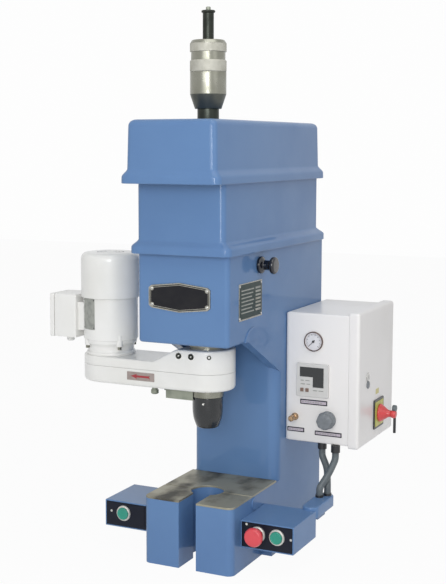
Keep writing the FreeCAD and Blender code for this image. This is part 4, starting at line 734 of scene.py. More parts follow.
def knurled(radius: float, foot: float, top: float, teeth: int, depth: float, chamfer: float,
            centre: Sequence[float], inner: float) -> Surface:
    """A ring with diamond knurling on its outside.

    The radius at angle a and height h is R - d (1 - min(g1, g2)), where g1 and g2 are saw-tooth
    waves, each from 0 to 1, that climb the ring to the right and to the left.

    Args:
        radius: radius over the teeth.
        foot: height of the lower face.
        top: height of the upper face.
        teeth: number of teeth round the ring.
        depth: depth of the grooves.
        chamfer: width of the plain chamfers above and below.
        centre: where the ring's own origin stands.
        inner: radius at which both faces end.

    Returns:
        The surface.
    """
    cols = teeth * 5
    pitch = TURN * radius / teeth
    rows = int((top - foot - 2 * chamfer) / pitch * 5)
    angle = np.linspace(0.0, TURN, cols, endpoint=False)
    height = np.linspace(foot + chamfer, top - chamfer, rows)
    turn = angle[None] * teeth / TURN
    climb = height[:, None] / pitch
    rising = 2 * np.abs((turn + climb) % 1.0 - 0.5)
    falling = 2 * np.abs((turn - climb) % 1.0 - 0.5)
    reach = radius - depth * (1 - np.minimum(rising, falling))
    ends = [(inner, foot), (radius - chamfer, foot), (radius - chamfer / 2, foot + chamfer / 2)]
    tops = [(radius - chamfer / 2, top - chamfer / 2), (radius - chamfer, top), (inner, top)]
    plain = [np.full((1, cols), r) for r, _ in ends] + [reach] + [np.full((1, cols), r) for r,
        _ in tops]
    levels = np.concatenate([[h for _, h in ends], height, [h for _, h in tops]])
    radii = np.vstack(plain)
    local = np.stack([
        radii * np.cos(angle), radii * np.sin(angle),
        np.broadcast_to(levels[:, None], radii.shape)], axis=2)
    return Surface(placed(local, centre, Facing.UP), grid_faces(*radii.shape, wrap_rows=True))


@dataclass
class Piece:
    """One visible piece: its surfaces with their finishes, its body and what it stands for."""

    name: str
    body: str
    slot: str
    replaces: tuple[str, ...] = ()
    parts: list[tuple[Surface, Finish]] = field(default_factory=list)

    def add(self, surface: Surface, finish: Finish) -> "Piece":
        """Add one surface and its finish."""
        self.parts.append((surface, finish))
        return self

    def place(self, sharp: float = CRISP_ANGLE) -> bpy.types.Object:
        """Make the mesh and attach the piece to its body.

        Args:
            sharp: edges that turn more than this many degrees are kept crisp.

        Returns:
            The Blender object, at the origin.
        """
        points = np.vstack([surface.points for surface, _ in self.parts]) * MM
        faces: list[Sequence[int]] = []
        marks: list[int] = []
        finishes: list[Finish] = []
        start = 0
        for surface, finish in self.parts:
            if finish not in finishes:
                finishes.append(finish)
            faces += [[start + index for index in face] for face in surface.faces]
            marks += [finishes.index(finish)] * len(surface.faces)
            start += len(surface.points)
        mesh = bpy.data.meshes.new(self.name)
        mesh.from_pydata(points.tolist(), [], faces)
        for finish in finishes:
            mesh.materials.append(finish.material())
        mesh.polygons.foreach_set("material_index", marks)
        shape = bmesh.new()
        shape.from_mesh(mesh)
        bmesh.ops.remove_doubles(shape, verts=shape.verts, dist=WELD)
        bmesh.ops.recalc_face_normals(shape, faces=shape.faces)
        shape.to_mesh(mesh)
        shape.free()
        return self.settle(mesh, sharp)

    def settle(self, mesh: bpy.types.Mesh, sharp: float) -> bpy.types.Object:
        """Shade a finished mesh, link its object, hide the CAD nodes it replaces and parent it to
        its body.
        """
        mesh.polygons.foreach_set("use_smooth", [True] * len(mesh.polygons))
        mesh.set_sharp_from_angle(angle=math.radians(sharp))
        mesh.update()
        made = bpy.data.objects.new(self.name, mesh)
        bpy.context.scene.collection.objects.link(made)
        if self.replaces:
            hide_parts(*self.replaces)
        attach(made, self.body)
        LOG.info("%-24s on %-12s %6d faces", self.name, self.body, len(mesh.polygons))
        return made


def softened(piece: Piece, source: str, finish: Finish, width: float,
        steps: int = 3) -> bpy.types.Object:
    """A copy of a CAD node with its loose triangles joined and its edges rounded.

    Args:
        piece: names the copy; it has no surfaces of its own.
        source: the CAD node.
        finish: the finish of the copy.
        width: width of the rounding in millimetres.
        steps: segments of the rounding.

    Returns:
        The Blender object.
    """
    shape = bmesh.new()
    shape.from_mesh(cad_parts[source].data)
    bmesh.ops.remove_doubles(shape, verts=shape.verts, dist=CAD_WELD)
    bmesh.ops.dissolve_limit(
        shape, angle_limit=math.radians(FLAT_ANGLE), verts=shape.verts, edges=shape.edges)
    bmesh.ops.recalc_face_normals(shape, faces=shape.faces)
    mesh = bpy.data.meshes.new(piece.name)
    shape.to_mesh(mesh)
    shape.free()
    for name in [a.name for a in mesh.attributes if a.name in ("custom_normal", "sharp_edge",
            "sharp_face")]:
        mesh.attributes.remove(mesh.attributes[name])
    mesh.materials.clear()
    mesh.materials.append(finish.material())
    mesh.polygons.foreach_set("material_index", [0] * len(mesh.polygons))
    made = piece.settle(mesh, CRISP_ANGLE)
    bevel = made.modifiers.new("edges", "BEVEL")
    bevel.width = width * MM
    bevel.segments = steps
    bevel.limit_method = "ANGLE"
    bevel.angle_limit = math.radians(CRISP_ANGLE)
    bevel.harden_normals = True
    return made


# --- sub-assemblies ------------------------------------------------------------------


@dataclass
class FrameCasting:
    """The C-shaped casting and its ground table plate."""

    edge: float = 3.6
    plate_edge: float = 0.6

    def casting(self) -> bpy.types.Object:
        """The painted casting with rounded edges."""
        piece = Piece("casting", "frame", "blue_paint", ("frame_casting",))
        return softened(piece, "frame_casting", BLUE_ENAMEL, self.edge)

    def table(self) -> bpy.types.Object:
        """The bare steel plate with its locating groove."""
        piece = Piece("table_steel", "frame", "bare_steel", ("table_plate",))
        return softened(piece, "table_plate", GROUND_STEEL, self.plate_edge, 2)

    def build(self) -> list[bpy.types.Object]:
        """Make the casting and its plate."""
        return [self.casting(), self.table()]


@dataclass
class Covers:
    """The two painted covers over the air cylinder, each with a bead round its foot."""

    lower_wall: tuple[float, float, float, float] = (-98.5, 98.5, -131.0, 386.0)
    lower_rim: tuple[float, float, float, float] = (-113.0, 113.0, -138.0, 401.0)
    upper_wall: tuple[float, float, float, float] = (-100.5, 100.5, -174.0, 391.0)
    upper_rim: tuple[float, float, float, float] = (-110.5, 110.5, -181.0, 400.0)
    foot: float = 660.0
    joint: float = 803.0
    top: float = 930.0
    corner: float = 13.0
    sheet: float = 4.0
    draft: float = 2.5
    top_round: float = 13.0
    bead: float = 13.0
    blend: float = 17.0

    def skin(self, wall: Sequence[float], rim: Sequence[float], foot: float, top: float,
            draft: float) -> Array:
        """Rows of a cover's outside from foot to top.

        The plan is wall + w (rim - wall), with w = 1 on the bead and falling along the smooth
        step 1 - t^2 (3 - 2t) above it, drawn in at the very foot and by the draft towards the top.

        Args:
            wall: plan of the upright wall.
            rim: plan of the bead.
            foot: height of the foot.
            top: height of the top.
            draft: how far the wall leans in on each side.

        Returns:
            Rows for lofted().
        """
        lip = np.array([[2.2, 0.0], [0.7, 0.3], [0.1, 1.2], [0.0, 2.6]])
        height = np.concatenate([lip[:, 1], np.linspace(self.bead, self.bead + self.blend, 12),
            [top - foot]])
        inward = np.concatenate([lip[:, 0], np.zeros(13)])
        t = np.clip((height - self.bead) / self.blend, 0.0, 1.0)
        share = 1 - t**2 * (3 - 2 * t)
        plan = np.array(wall) + share[:, None] * (np.array(rim) - np.array(wall))
        lean = draft * height / (top - foot) + inward
        plan = plan + lean[:, None] * np.array([1.0, -1.0, 1.0, -1.0])
        corner = self.corner + 3.0 * share
        return np.column_stack([plan, corner, foot + height])

    def lining(self, skin: Array, top: float) -> Array:
        """Rows of the inside of a cover, from its top down to its foot."""
        inside = skin[::-1].copy()
        wall = skin[-1]
        inside[:, :4] = wall[:4] + self.sheet * np.array([1.0, -1.0, 1.0, -1.0])
        inside[:, 4] = self.corner - self.sheet
        inside[0, 5] = top
        return inside

    def lower(self) -> bpy.types.Object:
        """The lower cover, open above and below."""
        skin = self.skin(self.lower_wall, self.lower_rim, self.foot, self.joint, 0.0)
        rows = np.vstack([skin, self.lining(skin, self.joint)])
        piece = Piece("cover_lower", "frame", "blue_paint", ("lower_cover",))
        return piece.add(lofted(rows, steps=9, ring=True), BLUE_ENAMEL).place()

    def upper(self) -> bpy.types.Object:
        """The upper cover, closed on top with a rolled edge."""
        wall_top = self.top - self.top_round
        skin = self.skin(self.upper_wall, self.upper_rim, self.joint, wall_top, self.draft)
        turn = np.linspace(0.0, math.pi / 2, 8)[1:]
        roll = np.column_stack([1 - np.cos(turn), np.sin(turn)]) * self.top_round
        last = skin[-1]
        dome = np.column_stack([
            last[:4] + roll[:, :1] * np.array([1.0, -1.0, 1.0, -1.0]),
            np.maximum(last[4] - 0.35 * roll[:, 0], 4.0), wall_top + roll[:, 1]])
        crown = dome[-1:] + np.array([[40.0, -40.0, 40.0, -40.0, 0.0, 0.0]])
        rows = np.vstack([self.lining(skin, self.top - self.sheet), skin, dome, crown])
        piece = Piece("cover_upper", "frame", "blue_paint", ("top_cover",))
        return piece.add(lofted(rows, steps=9), BLUE_ENAMEL).place()

    def build(self) -> list[bpy.types.Object]:
        """Make both covers."""
        return [self.lower(), self.upper()]


@dataclass
class DepthKnob:
    """The adjusting knob, its locking ring and the stop rod that comes out of it."""

    foot: float = 954.0
    cone: float = 30.0
    knurl_foot: float = 1029.0
    knurl_top: float = 1053.0
    ring_foot: float = 1070.0
    ring_top: float = 1094.0
    radius: float = 38.0
    waist: float = 35.5
    teeth: int = 96
    groove: float = 0.5
    rod: float = 11.5
    rod_foot: float = 870.0
    rod_top: float = 1149.0

    def knob(self) -> bpy.types.Object:
        """The adjusting knob: dark cone, bright body, knurled band and plain waist."""
        body = turned([
            (22.9, self.foot), (27.5, self.foot), (self.radius - 0.4, self.foot + self.cone),
            (self.radius - 0.4, self.knurl_foot), (self.waist, self.knurl_foot),
            (self.waist, self.ring_foot), (17.9, self.ring_foot), (17.9, 1050.0), (22.9, 1050.0),
        ], [0.8, 1.2, 0.6, 0.3, 0.3, 0.3, 0.2], (0.0, 0.0, 0.0), steps=120, ring=True)
        cone = turned([
            (24.0, self.foot - 0.02), (27.55, self.foot - 0.02),
            (self.radius - 0.25, self.foot + self.cone),
            (self.radius - 1.5, self.foot + self.cone + 0.4), (24.5, self.foot + 3.0),
        ], [0.8, 0.6, 0.3], (0.0, 0.0, 0.0), steps=120, ring=True)
        band = knurled(
            self.radius, self.knurl_foot, self.knurl_top, self.teeth, self.groove, 1.6,
            (0.0, 0.0, 0.0), 34.0)
        piece = Piece("depth_knob", "adjusting_nut", "satin_steel", ("adjusting_nut",))
        return piece.add(body, SATIN_STEEL).add(cone, CONE_STEEL).add(band, KNURLED_STEEL).place()

    def ring(self) -> bpy.types.Object:
        """The knurled locking ring with its dished top."""
        band = knurled(
            self.radius, self.ring_foot, self.ring_top - 6.5, self.teeth, self.groove, 0.8,
            (0.0, 0.0, 0.0), 34.0)
        dish = turned([
            (17.9, self.ring_foot + 0.3), (35.0, self.ring_foot + 0.3), (37.7, self.ring_top - 6.6),
            (33.5, self.ring_top), (17.9, self.ring_top),
        ], [0.3, 0.4, 1.2], (0.0, 0.0, 0.0), steps=120, ring=True)
        piece = Piece("locking_ring", "lock_nut", "satin_steel", ("lock_nut",))
        return piece.add(band, KNURLED_STEEL).add(dish, SATIN_STEEL).place()

    def stop(self) -> bpy.types.Object:
        """The stop rod with its flange and the screw that holds it."""
        rod = turned([
            (0.0, self.rod_foot), (self.rod, self.rod_foot), (self.rod, self.rod_top),
            (14.3, self.rod_top + 1.0), (14.3, self.rod_top + 5.2), (9.0, self.rod_top + 6.0),
            (0.0, self.rod_top + 6.0),
        ], [0.5, 0.8, 1.6, 1.6, 0.6], (0.0, 0.0, 0.0), steps=72)
        screw = turned([
            (0.0, self.rod_top + 5.0), (5.0, self.rod_top + 5.0), (5.0, self.rod_top + 11.5),
            (3.4, self.rod_top + 12.8), (2.2, self.rod_top + 12.8), (2.2, self.rod_top + 10.5),
            (0.0, self.rod_top + 10.5),
        ], [0.4, 1.2, 0.5, 0.1, 0.1], (0.0, 0.0, 0.0), steps=36)
        piece = Piece("stop_rod_turned", "ram", "dark_steel", ("stop_rod",))
        return piece.add(rod, DARK_STEEL).add(screw, ZINC_GREY).place()

    def bush(self) -> bpy.types.Object:
        """The thrust bush inside the knob."""
        tube = turned([
            (11.9, 1050.0), (17.5, 1050.0), (17.5, 1094.0), (11.9, 1094.0),
        ], 0.8, (0.0, 0.0, 0.0), ring=True)
        return Piece("thrust_bush", "stop_bush", "dark_steel", ("stop_bush",)).add(tube,
            DARK_STEEL).place()

    def sleeve(self) -> bpy.types.Object:
        """The dark sleeve that the knob climbs on."""
        tube = turned([
            (12.6, 902.0), (30.4, 902.0), (30.4, 921.5), (22.5, 922.0), (22.5, 1033.0),
            (12.6, 1033.0),
        ], [0.5, 0.5, 0.4, 1.0], (0.0, 0.0, 0.0), ring=True)
        return Piece("knob_sleeve", "frame", "dark_steel", ("stop_sleeve",)).add(tube,
            DARK_STEEL).place()

    def build(self) -> list[bpy.types.Object]:
        """Make the knob, its ring, the rod, the bush and the sleeve."""
        return [self.knob(), self.ring(), self.stop(), self.bush(), self.sleeve()]


@dataclass
class BeltHousing:
    """The white belt housing with its clamp boss, bolts, bracket and arrow plate."""

    reach: float = 237.0
    radius: float = 59.0
    bottom: float = 367.0
    joint: float = 405.0
    deck: float = 425.0
    boss_top: float = 455.0
    ramp_foot: float = -100.0
    ramp_top: float = -46.0
    bottom_round: float = 9.0
    top_round: float = 4.0
    bolt_height: float = 442.0
    bolts: tuple[tuple[float, float], ...] = ((-39.0, 6.3), (-10.0, 6.3), (28.0, 4.6))

    def top_height(self, x: Array) -> Array:
        """Height of the lid over x: the deck, a softened ramp and the boss.

        The ramp is a straight line between both levels with its corners softened by e: the share
        (sqrt(t^2 + e) - sqrt((t - 1)^2 + e) + 1) / 2, with t going from 0 to 1 up the ramp.
        """
        t = (x - self.ramp_foot) / (self.ramp_top - self.ramp_foot)
        soft = 0.004
        share = (np.sqrt(t**2 + soft) - np.sqrt((t - 1) ** 2 + soft) + 1) / 2
        return self.deck + share * (self.boss_top - self.deck)

    def radial(self, surface: Surface, x: float) -> Surface:
        """Take a surface from the front of the boss to x: along its flat side or round its end."""
        if x < 0.0:
            return surface.moved(x, 0.0, 0.0)
        return surface.turned_about(2, math.degrees(math.asin(x / self.radius)), (0.0, 0.0, 0.0))

    def upper(self) -> bpy.types.Object:
        """The upper half: a skin carried round both ends, whose top follows top_height()."""
        half = np.linspace(-math.pi / 2, math.pi / 2, 41)
        run = np.linspace(0.0, 1.0, 34)[1:-1]
        turn = np.concatenate([half, np.full(len(run), math.pi / 2), half + math.pi,
            np.full(len(run), -math.pi / 2)])
        post = np.concatenate([
            np.zeros(41), -self.reach * run, np.full(41, -self.reach), -self.reach * run[::-1]])
        outward = np.stack([np.cos(turn), np.sin(turn)], axis=1)
        edge = self.top_round
        arc = np.linspace(0.0, math.pi / 2, 6)
        radii = np.concatenate([
            [self.radius - 6.0, self.radius - 1.2, self.radius - 0.3, self.radius],
            self.radius - edge + edge * np.cos(arc),
            np.linspace(self.radius - edge - 6.0, 0.05, 8)])
        drop = np.concatenate([edge * (1 - np.sin(arc)), np.zeros(8)])
        x = post[None] + radii[:, None] * outward[None, :, 0]
        y = radii[:, None] * outward[None, :, 1]
        rim = post + self.radius * outward[:, 0]
        foot = np.array([self.joint, self.joint, self.joint + 0.3, self.joint + 1.2])
        foot = np.broadcast_to(foot[:, None], (4, len(turn)))
        blend = np.linspace(0.0, 1.0, 6)[:, None]
        near = self.top_height(rim)[None] * (1 - blend) + self.top_height(x[4:10]) * blend
        height = np.vstack([foot, near - drop[:6, None], self.top_height(x[10:])])
        points = np.stack([x, y, height], axis=2).reshape(-1, 3)
        count = len(turn)
        last = (x.shape[0] - 1) * count
        ridge = [
            list(dict.fromkeys((
                last + index, last + index + 1, last + (39 - index) % count,
                last + (40 - index) % count)))
            for index in range(20, 93)]
        skin = Surface(points, grid_faces(*x.shape) + end_caps(*x.shape, last=False) + ridge)
        piece = Piece("belt_housing_top", "ram", "white_paint", ("housing_upper",))
        piece.add(skin, WHITE_ENAMEL)
        for x_bolt, size in self.bolts:
            seat = turned([
                (size + 0.4, self.radius - 3.0), (size + 1.9, self.radius - 3.0),
                (size + 1.7, self.radius + 0.9),
                (size + 0.4, self.radius + 0.9),
            ], 0.3, (0.0, 0.0, self.bolt_height), Facing.FRONT, 36, ring=True)
            piece.add(self.radial(seat, x_bolt), WHITE_ENAMEL)
        return piece.place()

    def lower(self) -> bpy.types.Object:
        """The lower half, a tray with a rounded bottom edge."""
        profile = eased([
            (1.0, self.bottom), (self.radius, self.bottom), (self.radius, self.joint - 0.3),
            (self.radius - 5.0, self.joint - 0.3), (self.radius - 6.0, self.bottom + 6.0),
            (1.0, self.bottom + 6.0)], [self.bottom_round, 1.0, 0.3, 3.0], steps=8)
        tray = carried([(0.0, 0.0), (-self.reach, 0.0)], profile, steps=96)
        return Piece("belt_housing_tray", "ram", "white_paint", ("housing_lower",)).add(tray,
            WHITE_ENAMEL).place()

    def screws(self) -> bpy.types.Object:
        """The radial bolts of the clamp boss, each with a hexagon socket and a chrome disc in it as
        a painted highlight.
        """
        piece = Piece("clamp_screws", "ram", "satin_steel", ("clamp_bolts",))
        for x_bolt, size in self.bolts:
            face = self.radius + (2.4 if size > 5.0 else 0.6)
            head = turned([
                (0.0, self.radius - 4.0), (size, self.radius - 4.0), (size, face),
                (size * 0.55, face),
                (size * 0.5, face - 1.2), (0.0, face - 1.4),
            ], [0.4, 0.8, 0.2, 0.2], (0.0, 0.0, self.bolt_height), Facing.FRONT, 48)
            # A bright chrome disc filling the socket: a painted highlight where the socket is a
            # dark recess.
            socket_glint = turned([
                (0.0, face - 1.6), (size * 0.36, face - 1.6), (size * 0.3, face - 0.1),
                (0.0, face)],
                [0.1, 0.4], (0.0, 0.0, self.bolt_height), Facing.FRONT, 24)
            piece.add(self.radial(head, x_bolt), DARK_STEEL).add(self.radial(socket_glint, x_bolt), CHROME)
        return piece.place()

    def bracket(self) -> bpy.types.Object:
        """The belt-tension bracket and its stud below the housing."""
        reach = 35.2
        bow = np.linspace(-0.92, 0.92, 15)
        end = [(-reach * math.cos(a), reach * math.sin(a)) for a in bow]
        bar = slab([(-86.0, -28.0)] + end + [(-86.0, 28.0)], 342.5, 367.0, 1.2, (0.0, 0.0, 0.0),
            Facing.UP)
        nose = block((-93.0, -24.0, 358.0), (-80.0, 24.0, 367.0), 3.0, 1.0)
        stud = turned([
            (0.0, 347.0), (6.0, 347.0), (8.4, 349.0), (8.4, 356.0), (6.4, 357.0), (6.4, 367.5),
            (0.0, 367.5),
        ], [1.0, 1.0, 0.8, 0.6, 0.3], (-117.0, -20.0, 0.0), steps=40)
        piece = Piece("tension_bracket", "ram", "bare_steel", ("bearing_bracket",))
        return piece.add(bar, ZINC_GREY).add(nose, ZINC_GREY).add(stud, ZINC_GREY).place()

    def arrow(self) -> Surface:
        """The raised arrow that shows the spindle's turn, pointing left."""
        shape = [
            (-24.0, 0.0), (-9.0, -5.2), (-10.0, -2.2), (20.0, -2.2), (23.0, -4.4), (21.0, 0.0),
            (23.0, 4.4), (20.0, 2.2), (-10.0, 2.2), (-9.0, 5.2)]
        return slab(shape, 0.5, 1.15, 0.1, (-130.0, -self.radius, 390.0), Facing.FRONT)

    def build(self) -> list[bpy.types.Object]:
        """Make both halves, the bolts and the bracket."""
        return [self.upper(), self.lower(), self.screws(), self.bracket()]


@dataclass
class Motor:
    """The upright motor on the housing: shields, body, fan cover, terminal box and its plates."""

    x: float = -237.0
    foot: float = 425.0
    radius: float = 60.0
    joint: float = 556.0
    cover_radius: float = 65.0
    top: float = 648.0
    housing: BeltHousing = field(default_factory=BeltHousing)

    def frame_shell(self) -> bpy.types.Object:
        """Lower shield with its waist and flange, then the smooth body."""
        shell = turned([
            (11.0, self.foot), (54.0, self.foot), (54.0, self.foot + 5.0), (50.5, self.foot + 8.0),
            (50.5, self.foot + 20.0), (57.5, self.foot + 26.0), (57.5, self.foot + 33.0),
            (self.radius, self.foot + 34.0), (self.radius, self.joint), (11.0, self.joint),
        ], [1.0, 3.0, 3.5, 7.0, 4.0, 1.0, 1.0, 1.0], (self.x, 0.0, 0.0), steps=120)
        piece = Piece("motor_shell", "ram", "white_paint", ("motor_frame",))
        piece.add(shell, WHITE_ENAMEL)
        for degrees in (-40.0, 50.0, 140.0, 230.0):
            angle = math.radians(degrees)
            lug = turned([
                (0.0, self.foot + 20.0), (7.5, self.foot + 20.0), (8.5, self.foot + 34.0),
                (8.5, self.foot + 46.0),
                (0.0, self.foot + 50.0),
            ], [2.0, 3.0, 4.0], (self.x + 52.5 * math.cos(angle), 52.5 * math.sin(angle), 0.0),
            steps=32)
            bolt = turned([
                (0.0, self.foot + 14.0), (4.6, self.foot + 14.0), (4.6, self.foot + 20.5),
                (0.0, self.foot + 20.5),
            ], 0.8, (self.x + 54.5 * math.cos(angle), 54.5 * math.sin(angle), 0.0), steps=6)
            piece.add(lug, WHITE_ENAMEL).add(bolt, SATIN_STEEL)
        return piece.place()

    def fan_cover(self) -> bpy.types.Object:
        """The domed sheet cover over the fan, with ring slots on top."""
        slots = [(30.0, 26.5), (22.0, 18.5), (14.0, 10.5)]
        outer = [(self.cover_radius - 2.0, 550.5), (self.cover_radius, 550.5),
            (self.cover_radius, self.top)]
        shell = eased(outer + [(31.0, self.top)], [0.8, 32.0], steps=12)
        slotted = [shell]
        for wide, narrow in slots:
            slotted.append(np.array([
                [wide, self.top], [wide, self.top - 2.0], [narrow, self.top - 2.0],
                [narrow, self.top]]))
        slotted.append(np.array([[0.0, self.top]]))
        inner = eased([
            (0.0, self.top - 3.0), (30.0, self.top - 3.0),
            (self.cover_radius - 2.5, self.top - 3.0),
            (self.cover_radius - 2.0, 552.0)], [0.1, 30.0], steps=12)
        profile = np.vstack(slotted + [inner])
        piece = Piece("fan_hood", "ram", "white_paint", ("fan_cover",))
        return piece.add(carried([(0.0, 0.0)], profile, (self.x, 0.0, 0.0), steps=120, ring=True),
            WHITE_ENAMEL).place()

    def terminal_box(self) -> bpy.types.Object:
        """The terminal box with its lid, neck, screws and cable gland."""
        piece = Piece("terminal_case", "ram", "white_paint", ("terminal_box",))
        piece.add(block((-361.0, -38.0, 458.0), (-305.0, 38.0, 553.0), 3.0, 2.0), WHITE_ENAMEL)
        piece.add(block((-372.0, -38.0, 457.0), (-361.8, 38.0, 553.0), 3.0, 3.0, Facing.RIGHT, 3.0),
            WHITE_ENAMEL)
        piece.add(block((-312.0, -26.0, 474.0), (-288.0, 26.0, 536.0), 4.0, 1.0), WHITE_ENAMEL)
        piece.add(turned([
            (0.0, 444.0), (6.0, 444.0), (8.8, 446.0), (8.8, 452.0), (9.8, 453.0), (9.8, 458.3),
            (0.0, 458.3),
        ], [0.8, 1.0, 0.5, 0.5, 0.2], (-342.0, 0.0, 0.0), steps=24), WHITE_ENAMEL)
        return piece.place()

    def plates(self) -> bpy.types.Object:
        """The bent plate on the motor and the arrow plate on the housing.

        The motor plate is (x, y) = R (cos a, sin a) over a span of angles a and heights z.
        """
        rows, cols = 14, 18
        angle = np.radians(np.linspace(228.0, 264.5, cols))
        level = np.linspace(482.0, 550.0, rows)
        sheets = []
        for radius in (59.9, 60.7):
            a, z = np.meshgrid(angle, level)
            sheets.append(np.stack([self.x + radius * np.cos(a), radius * np.sin(a), z],
                axis=2).reshape(-1, 3))
        front = grid_faces(rows, cols, wrap_cols=False)
        back = [[index + rows * cols for index in face] for face in front]
        rim = np.concatenate([
            np.arange(cols), np.arange(1, rows) * cols + cols - 1,
            (rows - 1) * cols + np.arange(cols - 2, -1, -1),
            np.arange(rows - 2, 0, -1) * cols])
        following = np.roll(rim, -1)
        border = np.stack([rim, following, following + rows * cols, rim + rows * cols],
            axis=1).tolist()
        bent = Surface(np.vstack(sheets), front + back + border)
        piece = Piece("ram_nameplates", "ram", "plate_silver", ("ram_plates",))
        piece.add(bent, ETCHED_GREY)
        for degrees, z in ((230.0, 486.0), (230.0, 546.0), (262.5, 486.0), (262.5, 546.0)):
            rivet = turned([
                (0.0, -0.3), (1.5, -0.3), (1.5, 0.5), (0.0, 0.9)], [0.3, 0.4],
                (0.0, 0.0, 0.0), Facing.RIGHT, 16)
            rivet = rivet.moved(60.6, 0.0, z).turned_about(2, degrees,
                (0.0, 0.0, 0.0)).moved(self.x)
            piece.add(rivet, MOULDED_BLACK)
        reach = -self.housing.radius
        piece.add(block((-163.0, reach - 0.8, 381.0), (-97.0, reach + 0.2, 399.0), 1.0, 0.2,
            Facing.FRONT), ARROW_SILVER)
        piece.add(self.housing.arrow(), ARROW_RED)
        return piece.place()

    def build(self) -> list[bpy.types.Object]:
        """Make the motor's pieces."""
        return [self.frame_shell(), self.fan_cover(), self.terminal_box(), self.plates()]


@dataclass
class Nose:
    """The bearing ring and the blackened orbital head with its tool holder."""

    ring_bottom: float = 350.0
    tip: float = 283.0

    def ring(self) -> bpy.types.Object:
        """The bright bearing ring below the housing."""
        ring = turned([
            (16.0, self.ring_bottom), (34.0, self.ring_bottom), (34.0, 367.5), (30.0, 367.5),
            (30.0, 373.0),
            (16.0, 373.0)], [1.2, 0.6, 0.3, 0.5], (0.0, 0.0, 0.0), steps=96, ring=True)
        return Piece("bearing_ring", "ram", "satin_steel", ("nose_ring",)).add(ring,
            SATIN_STEEL).place()

    def head(self) -> bpy.types.Object:
        """The head: a straight collar that curves in to a flat tip round the tilted holder."""
        head = turned([
            (15.0, 310.0), (15.0, self.tip + 0.6), (19.5, self.tip), (24.0, self.tip + 2.0),
            (30.6, self.tip + 20.0), (32.5, self.tip + 36.0), (32.5, 349.4), (14.4, 349.4),
            (14.4, 310.0),
        ], [1.0, 0.8, 3.0, 10.0, 8.0, 0.8, 0.3], (0.0, 0.0, 0.0), steps=120, ring=True)
        screw = turned([
            (0.0, 31.0), (2.6, 31.0), (2.6, 32.9), (1.2, 33.1), (0.0, 32.2)], [0.2, 0.4, 0.2],
            (5.0, 0.0, 338.0), Facing.FRONT, 24)
        piece = Piece("forming_head", "spindle", "black_oxide", ("orbital_head",))
        return piece.add(head, BLACK_OXIDE).add(screw, CHROME).place()

    def build(self) -> list[bpy.types.Object]:
        """Make the ring and the head."""
        return [self.ring(), self.head()]


@dataclass
class ButtonBoxes:
    """The start-button boxes on both sides of the table, their panels, bezels and caps."""

    front: float = -57.0
    button_height: float = 85.0
    left_button: float = -174.0
    right_button: float = 185.0
    stop_button: float = 142.0

    def box(self, name: str, source: str) -> bpy.types.Object:
        """One painted box, with the real holes for the buttons.

        Args:
            name: the piece's name.
            source: the CAD node it is softened from.

        Returns:
            The Blender object.
        """
        piece = Piece(name, "frame", "blue_paint", (source,))
        return softened(piece, source, BLUE_ENAMEL, 1.8)

    def panels(self) -> bpy.types.Object:
        """Both black panels, with the real holes for the buttons."""
        piece = Piece("button_panels", "frame", "black_plastic", ("button_plates",))
        return softened(piece, "button_plates", PANEL_BLACK, 0.15, 1)

    def bezels(self) -> bpy.types.Object:
        """The raised rings round the buttons."""
        piece = Piece("button_rings", "frame", "bezel_plastic", ("button_bezels",))
        for x in (self.left_button, self.stop_button, self.right_button):
            ring = turned([
                (13.4, 0.2), (17.0, 0.2), (17.0, 3.0), (15.4, 5.2), (13.4, 5.2)], [0.2, 1.2, 1.0],
                (x, self.front, self.button_height), Facing.FRONT, 64, ring=True)
            piece.add(ring, BEZEL_GREY)
        return piece.place()

    def cap(self, name: str, body: str, x: float, source: str) -> bpy.types.Object:
        """One green start button.

        Args:
            name: the piece's name.
            body: the body that it rides on.
            x: its axis.
            source: the CAD node it stands for.

        Returns:
            The Blender object.
        """
        cap = turned([
            (0.0, -9.0), (12.9, -9.0), (12.9, 8.0), (10.8, 8.0), (10.2, 7.5), (0.0, 7.4)],
            [0.3, 1.4, 0.3, 0.4],
            (x, self.front, self.button_height), Facing.FRONT, 64)
        return Piece(name, body, "green_plastic", (source,)).add(cap, GREEN_CAP).place()

    def mushroom(self) -> bpy.types.Object:
        """The red emergency-stop head on its neck."""
        head = turned([
            (0.0, -9.0), (12.6, -9.0), (12.6, 14.0), (15.5, 17.0), (19.8, 19.0), (19.8, 24.0),
            (17.5, 29.2),
            (0.0, 30.0)], [0.3, 1.0, 1.5, 1.4, 1.8, 4.0],
            (self.stop_button, self.front, self.button_height), Facing.FRONT, 96)
        piece = Piece("stop_mushroom", "estop_button", "red_plastic", ("estop_button",))
        return piece.add(head, RED_CAP).place()

    def duct(self) -> bpy.types.Object:
        """The cable duct behind the right-hand box, round at its far end."""
        profile = eased([(1.0, 93.0), (18.0, 93.0), (18.0, 117.0), (1.0, 117.0)], [2.0, 3.5])
        lying = carried([(166.0, 0.0), (80.0, 0.0)], profile, steps=48)
        lying = lying.turned_about(2, 90.0, (0.0, 0.0, 0.0)).moved(206.0)
        return Piece("cable_duct", "frame", "blue_paint", ("conduit_duct",)).add(lying,
            BLUE_ENAMEL).place()

    def build(self) -> list[bpy.types.Object]:
        """Make the boxes and what is on them."""
        return [
            self.box("left_box", "left_button_box"),
            self.box("right_box", "right_button_box"),
            self.panels(), self.bezels(),
            self.cap("left_start_cap", "left_start_button", self.left_button, "left_start_button"),
            self.cap("right_start_cap", "right_start_button", self.right_button,
                "right_start_button"),
            self.mushroom(), self.duct(),
        ]


